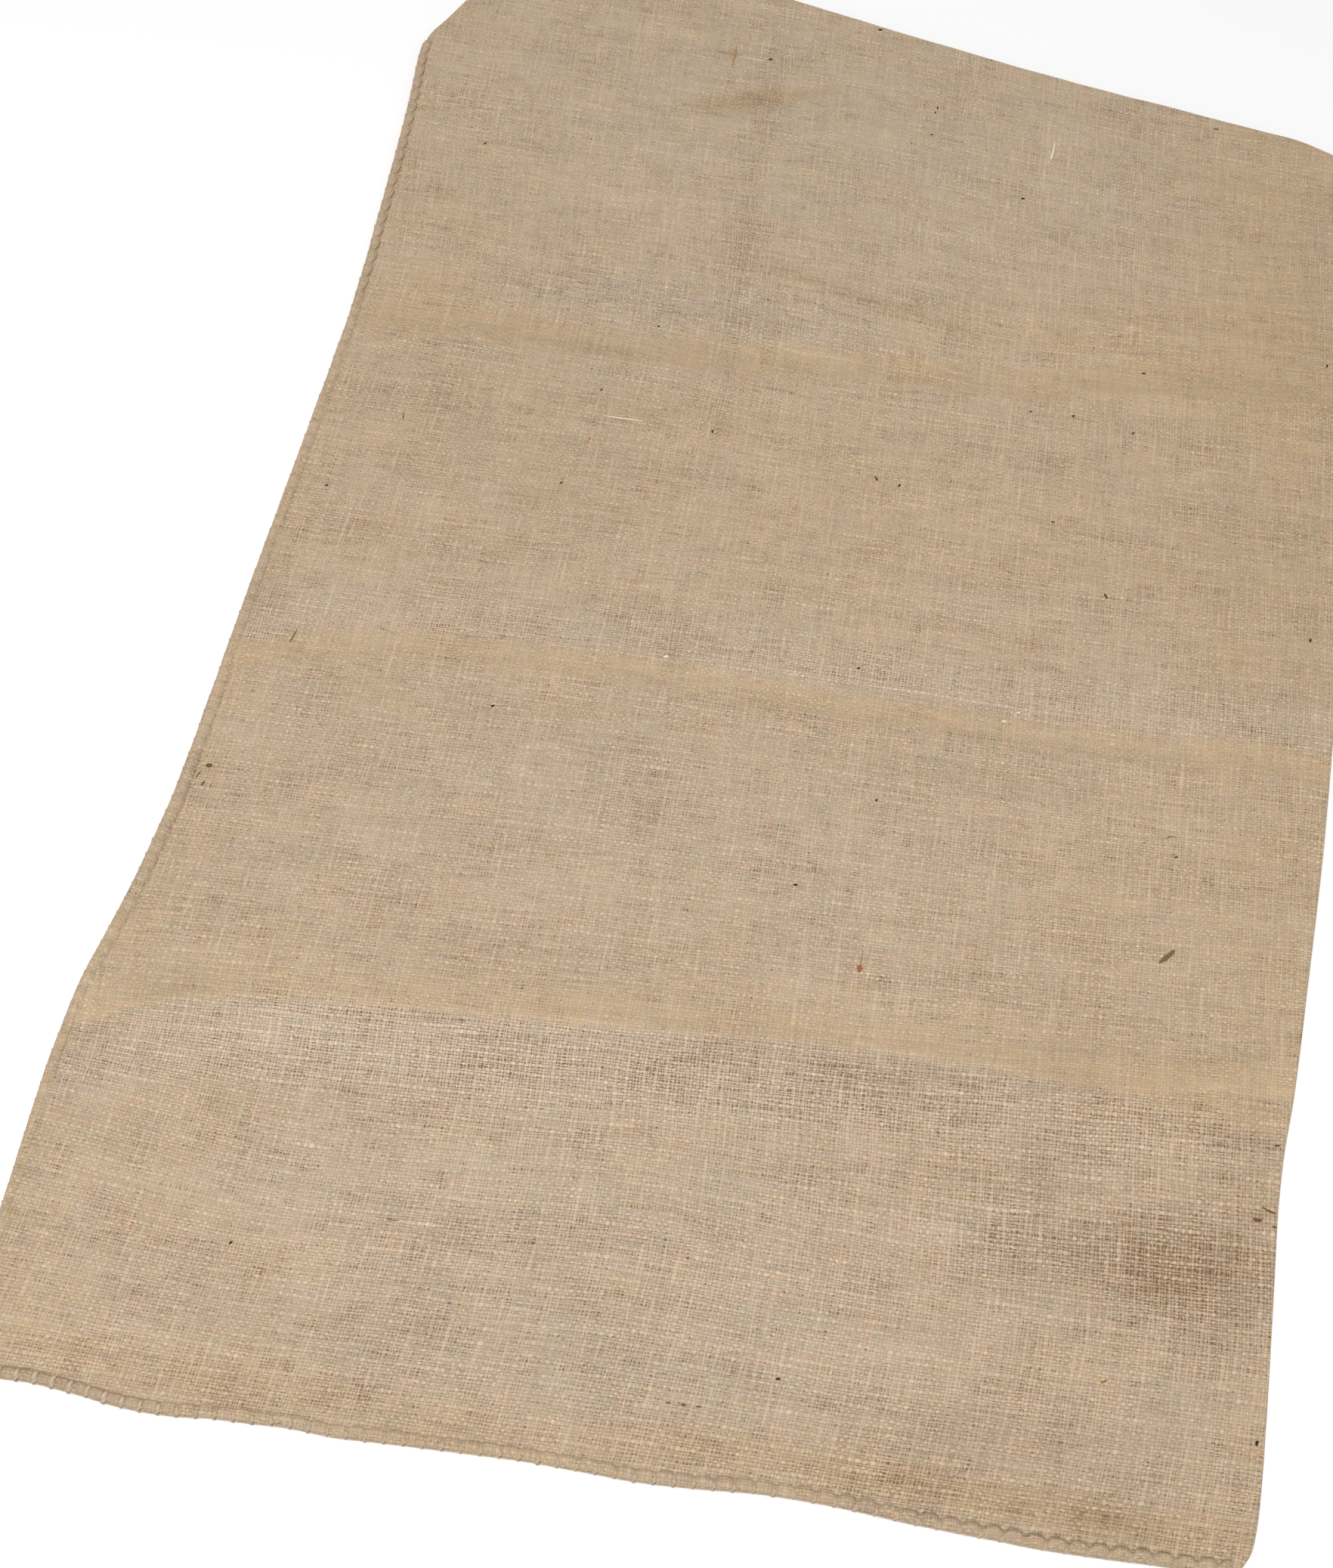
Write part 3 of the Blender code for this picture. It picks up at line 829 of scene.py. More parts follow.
    # Ruddy and yellow flecks, a few yarns wide and longer along the weft
    flecks = cloth.noise(cloth.point(u * 110.0, v * 190.0), 1.0, 1)
    ruddy_fleck, yellow_fleck, _ = cloth.parts(flecks)
    red = brightness * (1.0 + ruddy_fleck.swing(0.11))
    green = brightness * (1.0 - ruddy_fleck.swing(0.05))
    blue = brightness * (1.0 - yellow_fleck.swing(0.14))
    tan = cloth.shaded(tan, red, green, blue)
    # Painted shade in the furrows beside and between the yarns, deeper where the weave lies open
    furrow_shade = (1.0 - height) * (0.06 + 0.34 * opened)
    tan = cloth.mix(furrow_shade, tan, tuple(settings.furrow_shade_colour))
    # Painted shade: the sack's shaded inside, seen through the gaps where four yarns meet
    colour = cloth.mix(hole * settings.gap_shade_depth, tan, tuple(settings.gap_shade_colour))
    return cloth.finish(colour, DRY_ROUGHNESS, relief, WEAVE_DEPTH)


PLY_TURNS = 260.0  # plies to the metre of stitching yarn


def stitching_yarn(settings):
    """Loose two-ply jute yarn, lighter than the cloth, with hairy plies."""
    yarn = Board("stitching yarn")
    length, turn = yarn.cloth_place()
    twist = length * PLY_TURNS
    ply = ((twist + turn * 2.0) * 2.0 * pi).cosine() * 0.5 + 0.5
    fibres = yarn.noise(yarn.point(length * 500.0, turn * 9.0 + twist), 3.0)
    patches = yarn.noise(yarn.point(length * 60.0, turn))
    # Painted light and shade: each ply is lighter on its crest and darker in the groove between
    # plies
    brightness = 0.80 + ply * 0.16 + fibres.swing(0.5) + patches.swing(0.4)
    colour = yarn.shaded(tuple(settings.yarn_colour), brightness)
    return yarn.finish(colour, DRY_ROUGHNESS, ply + fibres * 0.5, PLY_DEPTH)


def bark_and_fibres():
    """Bits of bark and odd fibres that were spun in, each in its own colour."""
    bits = Board("bark and fibres")
    own = bits.node("ShaderNodeAttribute", {"attribute_name": "tint"})
    grain = bits.grain(1800.0)
    colour = bits.shaded(own, 0.7 + grain * 0.6)
    return bits.finish(colour, 0.8, grain, 0.2 * MM)


WHITE = (1.0, 1.0, 1.0, 1.0)
FLOOR_CLOUDS = (0.86, 0.86, 0.86, 1.0)
FLOOR_GLOW = 0.04  # keeps the far side of the floor as pale as the near side


def studio_floor(settings):
    """Smooth pale board, with the faintest cloudiness."""
    board = Board("studio floor")
    cloud = board.grain(1.4)
    colour = board.mix(cloud * 0.06, tuple(settings.floor_colour), FLOOR_CLOUDS)
    board.shader.inputs["Emission Color"].default_value = WHITE
    board.shader.inputs["Emission Strength"].default_value = FLOOR_GLOW
    return board.finish(colour, 0.9, cloud, 0.1 * MM)


# ------------------------------------------------------------ the sack's sheet

EDGE_STEPS = (0, 1.5, 3.5, 6, 9, 11, 14, 18)  # columns and rows close to the edges, in millimetres
MIDDLE_COLUMNS = 146
ROWS_BETWEEN = (56, 56, 66, 78)  # rows of faces between the crossing lines
ROW_CLOSENESS = 0.3  # how much closer the rows lie beside the lines
CLOTH = 1.3 * MM

# What a hem covers: the cloth under it lies lower and does not reach its outer edge
HEM_END = 438 * MM  # the side hem goes under the sack from here to the mouth
HEM_FADE = 5 * MM
HEM_COVER = 14 * MM
HEM_SINK = 0.9 * MM
HEM_SINK_SLOPE = 2.4
LOWEST_UNDER_HEM = 2.7 * MM
PULLED_IN = 3.0 * MM

# The rounded edge, from the upper cloth's rim to the floor: shares of the bulge and of the height
EDGE_RINGS = ((0.62, 0.86), (0.95, 0.66), (1.0, 0.45), (0.8, 0.2), (0.3, 0.0))


def column_shares():
    """Places of the columns across the sack, from 0 at the seam to 1 at the fold."""
    width = WIDTH / MM
    start = np.array(EDGE_STEPS)
    end = width - start[::-1]
    middle = np.linspace(start[-1], end[0], MIDDLE_COLUMNS)
    return np.concatenate([start[:-1], middle, end[1:]]) / width


def row_places():
    """Rows along the sack: number of the crossing line below, and share of the way to the next."""
    places = []
    for index, count in enumerate(ROWS_BETWEEN):
        even = np.arange(count) / count
        shares = even - ROW_CLOSENESS * np.sin(2 * pi * even) / (2 * pi)
        if index == 0:
            length = CROSSINGS[1].along[3] - CROSSINGS[0].along[3]
            near = np.array(EDGE_STEPS) / length
            shares = np.concatenate([near, shares[shares > near[-1] * 1.2]])
        places.append(index + shares)
    return np.concatenate([*places, [len(ROWS_BETWEEN) - 0.0001]])


def sheet_grid():
    """Points of the upper cloth on the plan, row by row."""
    shares = column_shares()
    rows = row_places()
    lines = np.stack([crossing_y(crossing, shares) for crossing in CROSSINGS])
    below = np.floor(rows).astype(int)
    part = (rows - below)[:, None]
    y = lines[below] + part * (lines[below + 1] - lines[below])
    left = seam_edge(y)
    x = left + shares[None, :] * (fold_edge(y) - left)
    return x, y


def tuck_under_hems(x, y, z):
    """Lowers the cloth that the hems cover, and pulls its rim in from their outer edges."""
    from_side = x - seam_edge(y)
    from_bottom = y - crossing_y(BOTTOM, across_at(x, y))
    hemmed = smooth((HEM_END + HEM_FADE - y) / (2 * HEM_FADE))
    side = np.clip(1 - from_side / HEM_COVER, 0, 1) * hemmed
    bottom = np.clip(1 - from_bottom / HEM_COVER, 0, 1)
    sink = HEM_SINK * smooth(np.maximum(side, bottom) * HEM_SINK_SLOPE)
    sunk = np.where(sink > 0, np.maximum(np.minimum(z, LOWEST_UNDER_HEM), z - sink), z)
    return x + PULLED_IN * side, y + PULLED_IN * bottom, sunk


def make_sack_sheet(settings, material):
    """The sack as one sheet of cloth: upper side, rounded edges and the side on the floor."""
    x, y = sheet_grid()
    z = upper_height(x, y, settings.ripples)
    u, v = cloth_place(*seen_on_plan(x, y, z))
    state = cloth_state(x, y)
    x, y, z = tuck_under_hems(x, y, z)
    points = np.stack([x, y, z], -1).reshape(-1, 3)
    cloth = np.stack([u, v], -1).reshape(-1, 2)
    grid = np.arange(x.size).reshape(x.shape)
    corners = [grid[:-1, :-1], grid[:-1, 1:], grid[1:, 1:], grid[1:, :-1]]
    faces = np.stack(corners, -1).reshape(-1, 4).tolist()

    # From the mouth down the seam, across the bottom and up the fold
    rim = np.concatenate([grid[::-1, 0], grid[0, 1:-1], grid[:, -1]])
    around = points[rim]
    run = np.gradient(around[:, :2], axis=0)
    outward = np.stack([run[:, 1], -run[:, 0]], -1) / np.hypot(run[:, 0], run[:, 1])[:, None]
    upper = rim
    all_points = [points]
    all_cloth = [cloth]
    count = len(points)
    for bulge, height in EDGE_RINGS:
        ring = around.copy()
        ring[:, :2] += outward * EDGE_BULGE * bulge
        ring[:, 2] *= height
        all_points.append(ring)
        all_cloth.append(cloth[rim] + outward * (around[:, 2] - ring[:, 2])[:, None])
        lower = np.arange(count, count + len(rim))
        count += len(rim)
        faces += np.stack([upper[:-1], lower[:-1], lower[1:], upper[1:]], -1).tolist()
        upper = lower
    mouth_row = grid[-1, -2:0:-1]
    mouth = points[mouth_row]
    mouth[:, 2] = 0.0
    all_points.append(mouth)
    all_cloth.append(cloth[mouth_row])
    underside = [*upper.tolist(), *range(count, count + len(mouth))]
    faces.append(underside[::-1])

    points = np.concatenate(all_points)
    cloth = np.concatenate(all_cloth)
    sheet = new_piece("sack_sheet", points, faces, material)
    give_uv(sheet, "cloth", cloth[corner_points(sheet)])
    extra = len(points) - x.size
    for name, values in zip(STATES + SLUB_STATES, [*state, *slub_state(u, v)]):
        give_values(sheet, name, np.concatenate([values.ravel(), np.zeros(extra)]))
    make_active(sheet)
    thickness = sheet.modifiers.new("cloth thickness", "SOLIDIFY")
    thickness.thickness = CLOTH
    thickness.offset = -1
    thickness.use_even_offset = True
    bpy.ops.object.modifier_apply(modifier=thickness.name)
    return finish_piece(sheet, SHEET_ANGLE)


# ------------------------------------------------------------ the hems

# The turned-in cloth of a hem, from the floor over its roll to the groove that its sewing pulls in:
# millimetres inwards and up, and steps of painted light and shade, light on the roll's top and dark
# at its foot and in the groove
HemPoint = namedtuple("HemPoint", "inward height shade")
HEM_ROLL = [
    HemPoint(3.2, 0.0, 0.0),
    HemPoint(1.4, 0.05, 0.0),
    HemPoint(0.45, 0.55, -2.0),
    HemPoint(0.0, 1.6, -1.0),
    HemPoint(0.12, 2.7, 0.0),
    HemPoint(0.75, 3.9, 0.0),
    HemPoint(1.8, 4.75, 0.5),
    HemPoint(3.0, 5.1, 0.6),
    HemPoint(4.2, 4.9, 0.2),
    HemPoint(5.2, 4.25, -0.8),
    HemPoint(5.9, 3.45, -4.0),
    HemPoint(6.3, 3.02, -8.0),
]
HEM_WIDTH = 6.3  # millimetres from the outer edge to the groove, before the rows below change it
GROOVE_HEIGHT = 3.02
GROOVE_SHADE = -1  # points darker than this take the rows' painted groove shade
# Painted shade on the roll where each stitch pinches it
PINCH_SHADE = -1.5
PINCH_NARROWS = 0.42
PINCH_FLATTENS = 0.25
PULL_FLATTENS = 0.35
PULL_CLEARS = 0.9  # share of the groove's painted shade that a full pull takes away at a stitch
WIDTH_WAVER = 0.10
FULLNESS_WAVER = 0.16
EDGE_PINCH = 0.12
EDGE_WAVER = 0.25
# Noise along a hem: stretch, row and layer, where the first two give each stitch its own amount
SIDE_NOISE = (3.7, 2.3, 8.1)
BOTTOM_NOISE = (3.7, 2.3, 1.7)
SLOW_NOISE = (0.45, 5.1, 3.3)
HEM_END_FADE = 5  # millimetres over which a roll thins out at its ends
# Beyond the groove: distance past it, the lift over the cloth there, in millimetres, and the
# groove's painted shade as it fades out
HEM_SHOULDER = [HemPoint(0.5, 0.02, -4.0), HemPoint(1.3, 0.34, -0.5), HemPoint(2.7, 0.34, 0.0)]
HEM_FLAT = [HemPoint(10.2, 0.16, 0.0), HemPoint(12.0, 0.05, 0.0), HemPoint(14.0, -0.25, 0.0)]
HEM_UNDER = ((13.6, -0.7), (10.0, -1.3), (6.0, -1.7))  # inside the cloth, out of sight

# How a hem changes along it, in millimetres where that fits: stitch pitch, roll width, how far each
# stitch pulls the roll in, how full the roll is, how dark the painted shade in its groove, or
# painted light below zero, how light its cloth, its yarn's thickness, and the share of the roll
# that a stitch reaches over
HemRow = namedtuple("HemRow", "along pitch width pull full dark tone stitch reach")
SIDE_HEM = [
    HemRow(-535, 9.5, 5.4, 0.20, 0.25, 0.10, -0.6, 0.6, 0.6),
    HemRow(-330, 9.5, 5.4, 0.20, 0.30, 0.15, -0.6, 0.8, 0.6),
    HemRow(-290, 9.5, 7.0, 0.25, 0.60, 0.20, -0.8, 0.9, 0.55),
    HemRow(-200, 9.8, 7.4, 0.30, 0.70, 0.40, -1.0, 1.0, 0.55),
    HemRow(-150, 10.0, 7.0, 0.25, 0.60, 0.35, -1.0, 0.9, 0.55),
    HemRow(-60, 10.5, 6.2, 0.20, 0.40, 0.15, -0.8, 0.8, 0.62),
    HemRow(170, 11.5, 6.0, 0.25, 0.50, 0.20, -0.8, 0.8, 0.8),
    HemRow(210, 12.0, 5.7, 0.36, 0.85, 0.30, -1.4, 0.9, 0.9),
    HemRow(440, 12.0, 5.6, 0.36, 0.85, 0.30, -1.4, 0.9, 0.9),
]
BOTTOM_HEM = [
    HemRow(-312, 8.2, 5.3, 0.22, 0.85, 0.40, -5.0, 2.6, 0.93),
    HemRow(-235, 8.3, 5.3, 0.26, 0.85, 0.30, -3.4, 2.5, 0.88),
    HemRow(-185, 8.5, 6.0, 0.30, 0.65, -0.20, -1.4, 2.1, 0.60),
    HemRow(30, 9.0, 6.2, 0.40, 0.6, -0.20, -2.1, 1.8, 0.60),
    HemRow(120, 9.6, 6.2, 0.70, 0.75, 0.35, -2.3, 1.7, 0.60),
    HemRow(200, 9.8, 6.0, 0.90, 1.0, 1.20, -2.4, 1.4, 0.55),
    HemRow(300, 9.9, 6.0, 0.90, 1.0, 1.30, -2.8, 1.2, 0.55),
]
# Small waves of the bottom edge: places along it and how far it lies further up, in millimetres
BOTTOM_WAVE = (
    (-285, 0.3),
    (-268, 1.4),
    (-250, 0.7),
    (-222, -1.4),
    (-205, -0.6),
    (-184, 1.6),
    (-160, 1.6),
    (-124, -1.0),
    (-88, 0),
    (-40, 1.6),
    (-15, 0.7),
    (25, -1.0),
    (55, 0),
    (95, 0.9),
    (135, 0),
)
ROLL_STATE = (-0.7, 0.0, 0.6)  # as in STATES: closed yarns and more golden
SIDE_REACH = (-531.0, 441.0)
BOTTOM_REACH = (-309.0, 280.5)
COLUMNS_PER_STITCH = 12


def wavering(places, stretch, row, layer):
    """Smooth noise from -1 to 1 along a line."""
    return np.array([noise.noise((place * stretch, row, layer)) for place in places])


class Hem:
    """A hem's course and stitches. Places along it are Y at the side and X across the bottom."""

    def __init__(self, name, rows, reach, at_side):
        self.name = name
        self.rows = rows
        self.reach = reach
        self.at_side = at_side
        self.fine = np.linspace(reach[0], reach[1], 1200)
        pitch = self.value("pitch", self.fine)
        steps = np.diff(self.fine) * (1 / pitch[1:] + 1 / pitch[:-1]) / 2
        self.counts = np.concatenate([[0], np.cumsum(steps)])

    def value(self, name, at):
        return through(column(self.rows, "along"), column(self.rows, name), at)

    def place_of(self, count):
        return np.interp(count, self.counts, self.fine)

    def rim(self, at):
        """The sack's rim at places along the hem, and the direction inwards from it."""
        here = self.rim_points(at)
        run = self.rim_points(at + 1) - self.rim_points(at - 1)
        run /= np.hypot(run[..., 0], run[..., 1])[..., None]
        inward = np.stack([-run[..., 1], run[..., 0]], -1)
        return here, inward * (-1 if self.at_side else 1)

    def rim_points(self, at):
        at = np.asarray(at, float) * MM
        if self.at_side:
            return np.stack([seam_edge(at), at], -1)
        y = np.full_like(at, BOTTOM.along[3] * MM)
        for _ in range(3):
            y = crossing_y(BOTTOM, across_at(at, y))
        wave = MM * through(*zip(*BOTTOM_WAVE), at / MM)
        return np.stack([at, y + wave], -1)

    def section(self, count):
        """The hem's section at some stitch counts: inward, height over the floor, and shade."""
        at = self.place_of(count)
        arch = 0.5 - 0.5 * np.cos(2 * pi * count)
        pinch = (1 - arch) ** 3
        uneven = wavering(np.floor(count), *(SIDE_NOISE if self.at_side else BOTTOM_NOISE))
        slow = wavering(count, *SLOW_NOISE)
        pull = self.value("pull", at)
        dark = self.value("dark", at)
        width = self.value("width", at) * (1 + WIDTH_WAVER * slow) / HEM_WIDTH
        width = width * (1 - PINCH_NARROWS * pull * pinch)
        flattened = (PINCH_FLATTENS + PULL_FLATTENS * pull) * pinch
        full = self.value("full", at) * (1 + FULLNESS_WAVER * uneven - flattened)
        edge = EDGE_PINCH * pinch + EDGE_WAVER * slow
        for from_end in (at - self.reach[0], self.reach[1] - at):
            full = full * smooth(from_end / HEM_END_FADE + 0.2)
        inward = []
        height = []
        shade = []
        for point in HEM_ROLL:
            above = np.maximum(0.0, point.height - GROOVE_HEIGHT)
            inward.append(point.inward * width + edge * (1 - point.inward / HEM_WIDTH))
            height.append(np.minimum(point.height, GROOVE_HEIGHT) + above * full)
            # Painted shade: dark in the groove, cleared in part where a stitch pulls, and darker on
            # the roll at each stitch
            cleared = 1 - PULL_CLEARS * pull * (1 - arch)
            deep = dark * cleared if point.shade < GROOVE_SHADE else 1.0
            pinched = PINCH_SHADE * pinch * (point.inward > 1)
            shade.append(point.shade * deep + pinched + self.value("tone", at))
        inward, height, shade = [np.stack(rows, -1) for rows in (inward, height, shade)]
        return at, inward, height, shade, width * HEM_WIDTH, dark

    def surface(self, count, ripple_height):
        """Points of the hem's visible side at some stitch counts, their shade and their rim."""
        at, inward, height, shade, width, dark = self.section(count)
        here, aim = self.rim(at)
        past_groove = HEM_SHOULDER + HEM_FLAT
        beyond = [width + point.inward for point in HEM_SHOULDER]
        beyond += [np.full_like(width, point.inward) for point in HEM_FLAT]
        lift = np.array(column(past_groove, "height"))
        reach = np.concatenate([inward, np.stack(beyond, -1)], 1) * MM - EDGE_BULGE
        flat = here[:, None, :] + aim[:, None, :] * reach[..., None]
        cloth = upper_height(flat[..., 0], flat[..., 1], ripple_height)
        z = height * MM
        more = cloth[:, len(HEM_ROLL):] + lift * MM
        z = np.concatenate([z, np.maximum(more, GROOVE_HEIGHT * MM)], 1)
        extra = np.multiply.outer(dark, column(past_groove, "shade"))
        return flat, z, np.concatenate([shade, extra], 1), here, aim


def make_hem(hem, settings, material):
    """A hem as a closed strip of cloth that is pinched by each stitch."""
    total = hem.counts[-1]
    count = np.linspace(0, total, int(total * COLUMNS_PER_STITCH) + 1)
    flat, z, shade, here, aim = hem.surface(count, settings.ripples)
    under = np.array(HEM_UNDER)
    reach = under[:, 0] * MM - EDGE_BULGE
    below = here[:, None, :] + aim[:, None, :] * reach[None, :, None]
    below_z = upper_height(below[..., 0], below[..., 1], settings.ripples) + under[:, 1] * MM
    flat = np.concatenate([flat, below], 1)
    z = np.concatenate([z, below_z], 1)
    shade = np.concatenate([shade, np.zeros_like(below_z)], 1)
    points = np.concatenate([flat, z[..., None]], -1)
    stations, around = z.shape
    ring = np.arange(stations * around).reshape(stations, around)
    beside = np.roll(ring, -1, 1)
    sides = np.stack([ring[:-1], beside[:-1], beside[1:], ring[1:]], -1).reshape(-1, 4).tolist()
    faces = sides + [ring[0].tolist(), ring[-1][::-1].tolist()]
    piece = new_piece(hem.name, points.reshape(-1, 3), faces, material)
    face_outwards(piece)
    groove = len(HEM_ROLL) - 1
    places = np.stack(cloth_place(*seen_on_plan(flat[..., 0], flat[..., 1], z)), -1)
    state = cloth_state(flat[..., 0], flat[..., 1])
    steps = np.linalg.norm(np.diff(points[:, : groove + 1], axis=1), axis=-1)
    girth = np.cumsum(steps[:, ::-1], axis=1)[:, ::-1]
    places[:, :groove] = places[:, groove : groove + 1]
    across = 0 if hem.at_side else 1
    places[:, :groove, across] -= girth
    state[:, :, : groove + 1] = np.reshape(ROLL_STATE, (len(STATES), 1, 1))
    # The hem's painted light and shade goes into its tone
    state[STATES.index("tone")] += shade
    give_uv(piece, "cloth", places.reshape(-1, 2)[corner_points(piece)])
    for name, values in zip(STATES, state):
        give_values(piece, name, values)
    return finish_piece(piece, LUMPY_ANGLE)


# ------------------------------------------------------------ yarns, knot and bark


def yarn_mesh(course, thickness, sides=6):
    """Points, faces and cloth places of a closed round yarn along a course, all in metres."""
    course = np.asarray(course, float)
    thickness = np.broadcast_to(thickness, (len(course),))
    run = np.gradient(course, axis=0)
    run /= np.maximum(1e-9, np.linalg.norm(run, axis=1))[:, None]
    up = np.array((0.0, 0.0, 1.0)) + 0 * run
    up[np.abs(run[:, 2]) > 0.9] = (1.0, 0.0, 0.0)
    side = np.cross(run, up)
    side /= np.linalg.norm(side, axis=1)[:, None]
    for i in range(1, len(side)):
        side[i] -= run[i] * (side[i] @ run[i])
        side[i] = side[i] if side[i] @ side[i - 1] > 0 else -side[i]
    up = np.cross(side, run)
    turns = 2 * pi * np.arange(sides) / sides
    ring = side[:, None] * np.cos(turns)[None, :, None] + up[:, None] * np.sin(turns)[None, :, None]
    points = course[:, None] + ring * thickness[:, None, None] / 2
    index = np.arange(len(course) * sides).reshape(-1, sides)
    beside = np.roll(index, -1, 1)
    faces = np.stack([index[:-1], beside[:-1], beside[1:], index[1:]], -1).reshape(-1, 4).tolist()
    faces += [index[0][::-1].tolist(), index[-1].tolist()]
    length = np.concatenate([[0], np.cumsum(np.linalg.norm(np.diff(course, axis=0), axis=1))])
    places = np.stack([length[:, None] + 0 * turns, turns / (2 * pi) + 0 * length[:, None]], -1)
    return points.reshape(-1, 3), faces, places.reshape(-1, 2)


def join_meshes(parts):
    """One list of points, faces and cloth places from many."""
    points = []
    faces = []
    places = []
    count = 0
    for more_points, more_faces, more_places in parts:
        points.append(more_points)
        places.append(more_places)
        faces += [[i + count for i in face] for face in more_faces]
        count += len(more_points)
    return np.concatenate(points), faces, np.concatenate(places)


YARN_FLOOR = 0.1 * MM  # yarns are pressed flat on what the sack lies on


def yarn_piece(name, parts, material):
    """A piece of many yarns."""
    points, faces, places = join_meshes(parts)
    points[:, 2] = np.maximum(points[:, 2], YARN_FLOOR)
    piece = new_piece(name, points, faces, material)
    face_outwards(piece)
    give_uv(piece, "cloth", places[corner_points(piece)])
    return finish_piece(piece, YARN_ANGLE)


def hem_point(hem, count, share, lift=0.0):
    """Points on a hem's roll: share runs from 0 at the floor to 1 in the groove."""
    at, inward, height, *_ = hem.section(count)
    here, aim = hem.rim(at)
    steps = np.linspace(0, 1, len(HEM_ROLL))
    shares = np.broadcast_to(share, at.shape)
    reach = np.array([np.interp(part, steps, row) for part, row in zip(shares, inward)])
    z = np.array([np.interp(part, steps, row) for part, row in zip(shares, height)])
    flat = here + aim * (reach * MM - EDGE_BULGE)[:, None]
    return np.concatenate([flat, (z * MM + lift)[:, None]], -1)


ARM_POINTS = 9
ARM_START = 0.13  # share of the roll at which a stitch goes under its edge
ARM_NOISE = (7.3, 6.0, 4.4)  # from stitch to stitch, along a stitch, and the noise's layer
ARM_LUMPS = 0.5  # how far a stitch's thickness varies
ARM_ENDS = (0.5, 0.6)  # thickness of its two ends, as shares of its own
ARM_LIFT = 0.02  # how far it stands off the roll, as a share of its thickness
LEAST_SLANT = 0.06  # slant of a bottom stitch that hardly pulls, and what a full pull adds
PULLED_SLANT = 0.4
SIDE_SLANT = 0.33  # stitches that a side stitch leans forwards
LAST_STITCH = 18  # millimetres from the end of the bottom hem to its last stitch
EDGE_YARN = 1.0 * MM  # the yarn that joins the bottom stitches at the edge
EDGE_YARN_SHARE = 0.20  # where it lies on the roll between two stitches
EDGE_YARN_DIP = 0.08  # how much further in it lies at a stitch

# The thread beside the upper side hem: where it starts, its thickness, and its course in each
# stitch, as shares of the roll and of the way to the next stitch
SIDE_THREAD_FROM = 196
SIDE_THREAD = 1.1 * MM
THREAD_LIFT = 0.2 * MM
THREAD_SHARES = np.array((0.78, 0.80, 0.86, 0.93, 0.98, 0.97))
THREAD_AHEAD = np.array((0.02, 0.12, 0.35, 0.62, 0.88, 1.0))


def stitch_arm(hem, count, slant):
    """A stitch over the roll, from under its outer edge to as far as the hem's table says."""
    at = hem.place_of(count)
    end = float(hem.value("reach", at))
    shares = np.linspace(ARM_START, end, ARM_POINTS)
    by_stitch, by_share, layer = ARM_NOISE
    places = [(count * by_stitch, share * by_share, layer) for share in shares]
    lumps = np.array([noise.noise(place) for place in places])
    thickness = float(hem.value("stitch", at)) * MM * (1 + ARM_LUMPS * lumps)
    thickness[[0, -1]] *= ARM_ENDS
    lift = thickness * ARM_LIFT * smooth(shares * 2.5 - 0.4)
    return yarn_mesh(hem_point(hem, count + slant * (shares - end), shares, lift), thickness)


def make_bottom_stitches(hem, material):
    """Looped stitches across the bottom hem, and the yarn that joins them at its edge."""
    total = int(hem.counts[-1])
    parts = []
    for stitch in range(1, total + 1):
        at = float(hem.place_of(stitch))
        slant = LEAST_SLANT + PULLED_SLANT * float(hem.value("pull", at)) ** 2
        if hem.reach[1] - at > LAST_STITCH:
            parts.append(stitch_arm(hem, float(stitch), slant))
    count = np.arange(0.5, total - 1.5, 0.1)
    dip = 0.5 + 0.5 * np.cos(2 * pi * count)
    share = EDGE_YARN_SHARE + EDGE_YARN_DIP * dip
    parts.append(yarn_mesh(hem_point(hem, count, share), EDGE_YARN))
    return yarn_piece("bottom_stitches", parts, material)


def make_side_stitches(hem, material):
    """Slanted stitches up the side hem, and the thread that shows beside its upper part."""
    parts = []
    for stitch in range(1, int(hem.counts[-1]) + 1):
        parts.append(stitch_arm(hem, float(stitch), SIDE_SLANT))
        if hem.place_of(stitch) > SIDE_THREAD_FROM:
            course = hem_point(hem, stitch + THREAD_AHEAD, THREAD_SHARES, THREAD_LIFT)
            parts.append(yarn_mesh(course, SIDE_THREAD))
    return yarn_piece("side_stitches", parts, material)


# The knot, in millimetres: its middle, the size of its loop, its yarn, the yarn that leads to it
# from the hem, and its frayed end's strands by turn and length
KNOT_PLACE = (289.5, -508.5, 4.2)
KNOT_SIZE = 2.0 / 2.4
KNOT_YARN = 2.3
KNOT_LEAD = ((-11, -2.6, -1.2), (-7, -2.0, -0.6), (-3.5, -0.8, 0.2), (0, 0, 0))
STRANDS = ((-62, 9), (-48, 11), (-38, 8.5), (-75, 7), (-25, 6.5))
STRAND_THICKNESS = np.linspace(0.9, 0.25, 7)
STRAND_DROOP = (0.0, 0.0, -2.9)
STRAND_SWAY = (0.6, 0.9, 0.0)


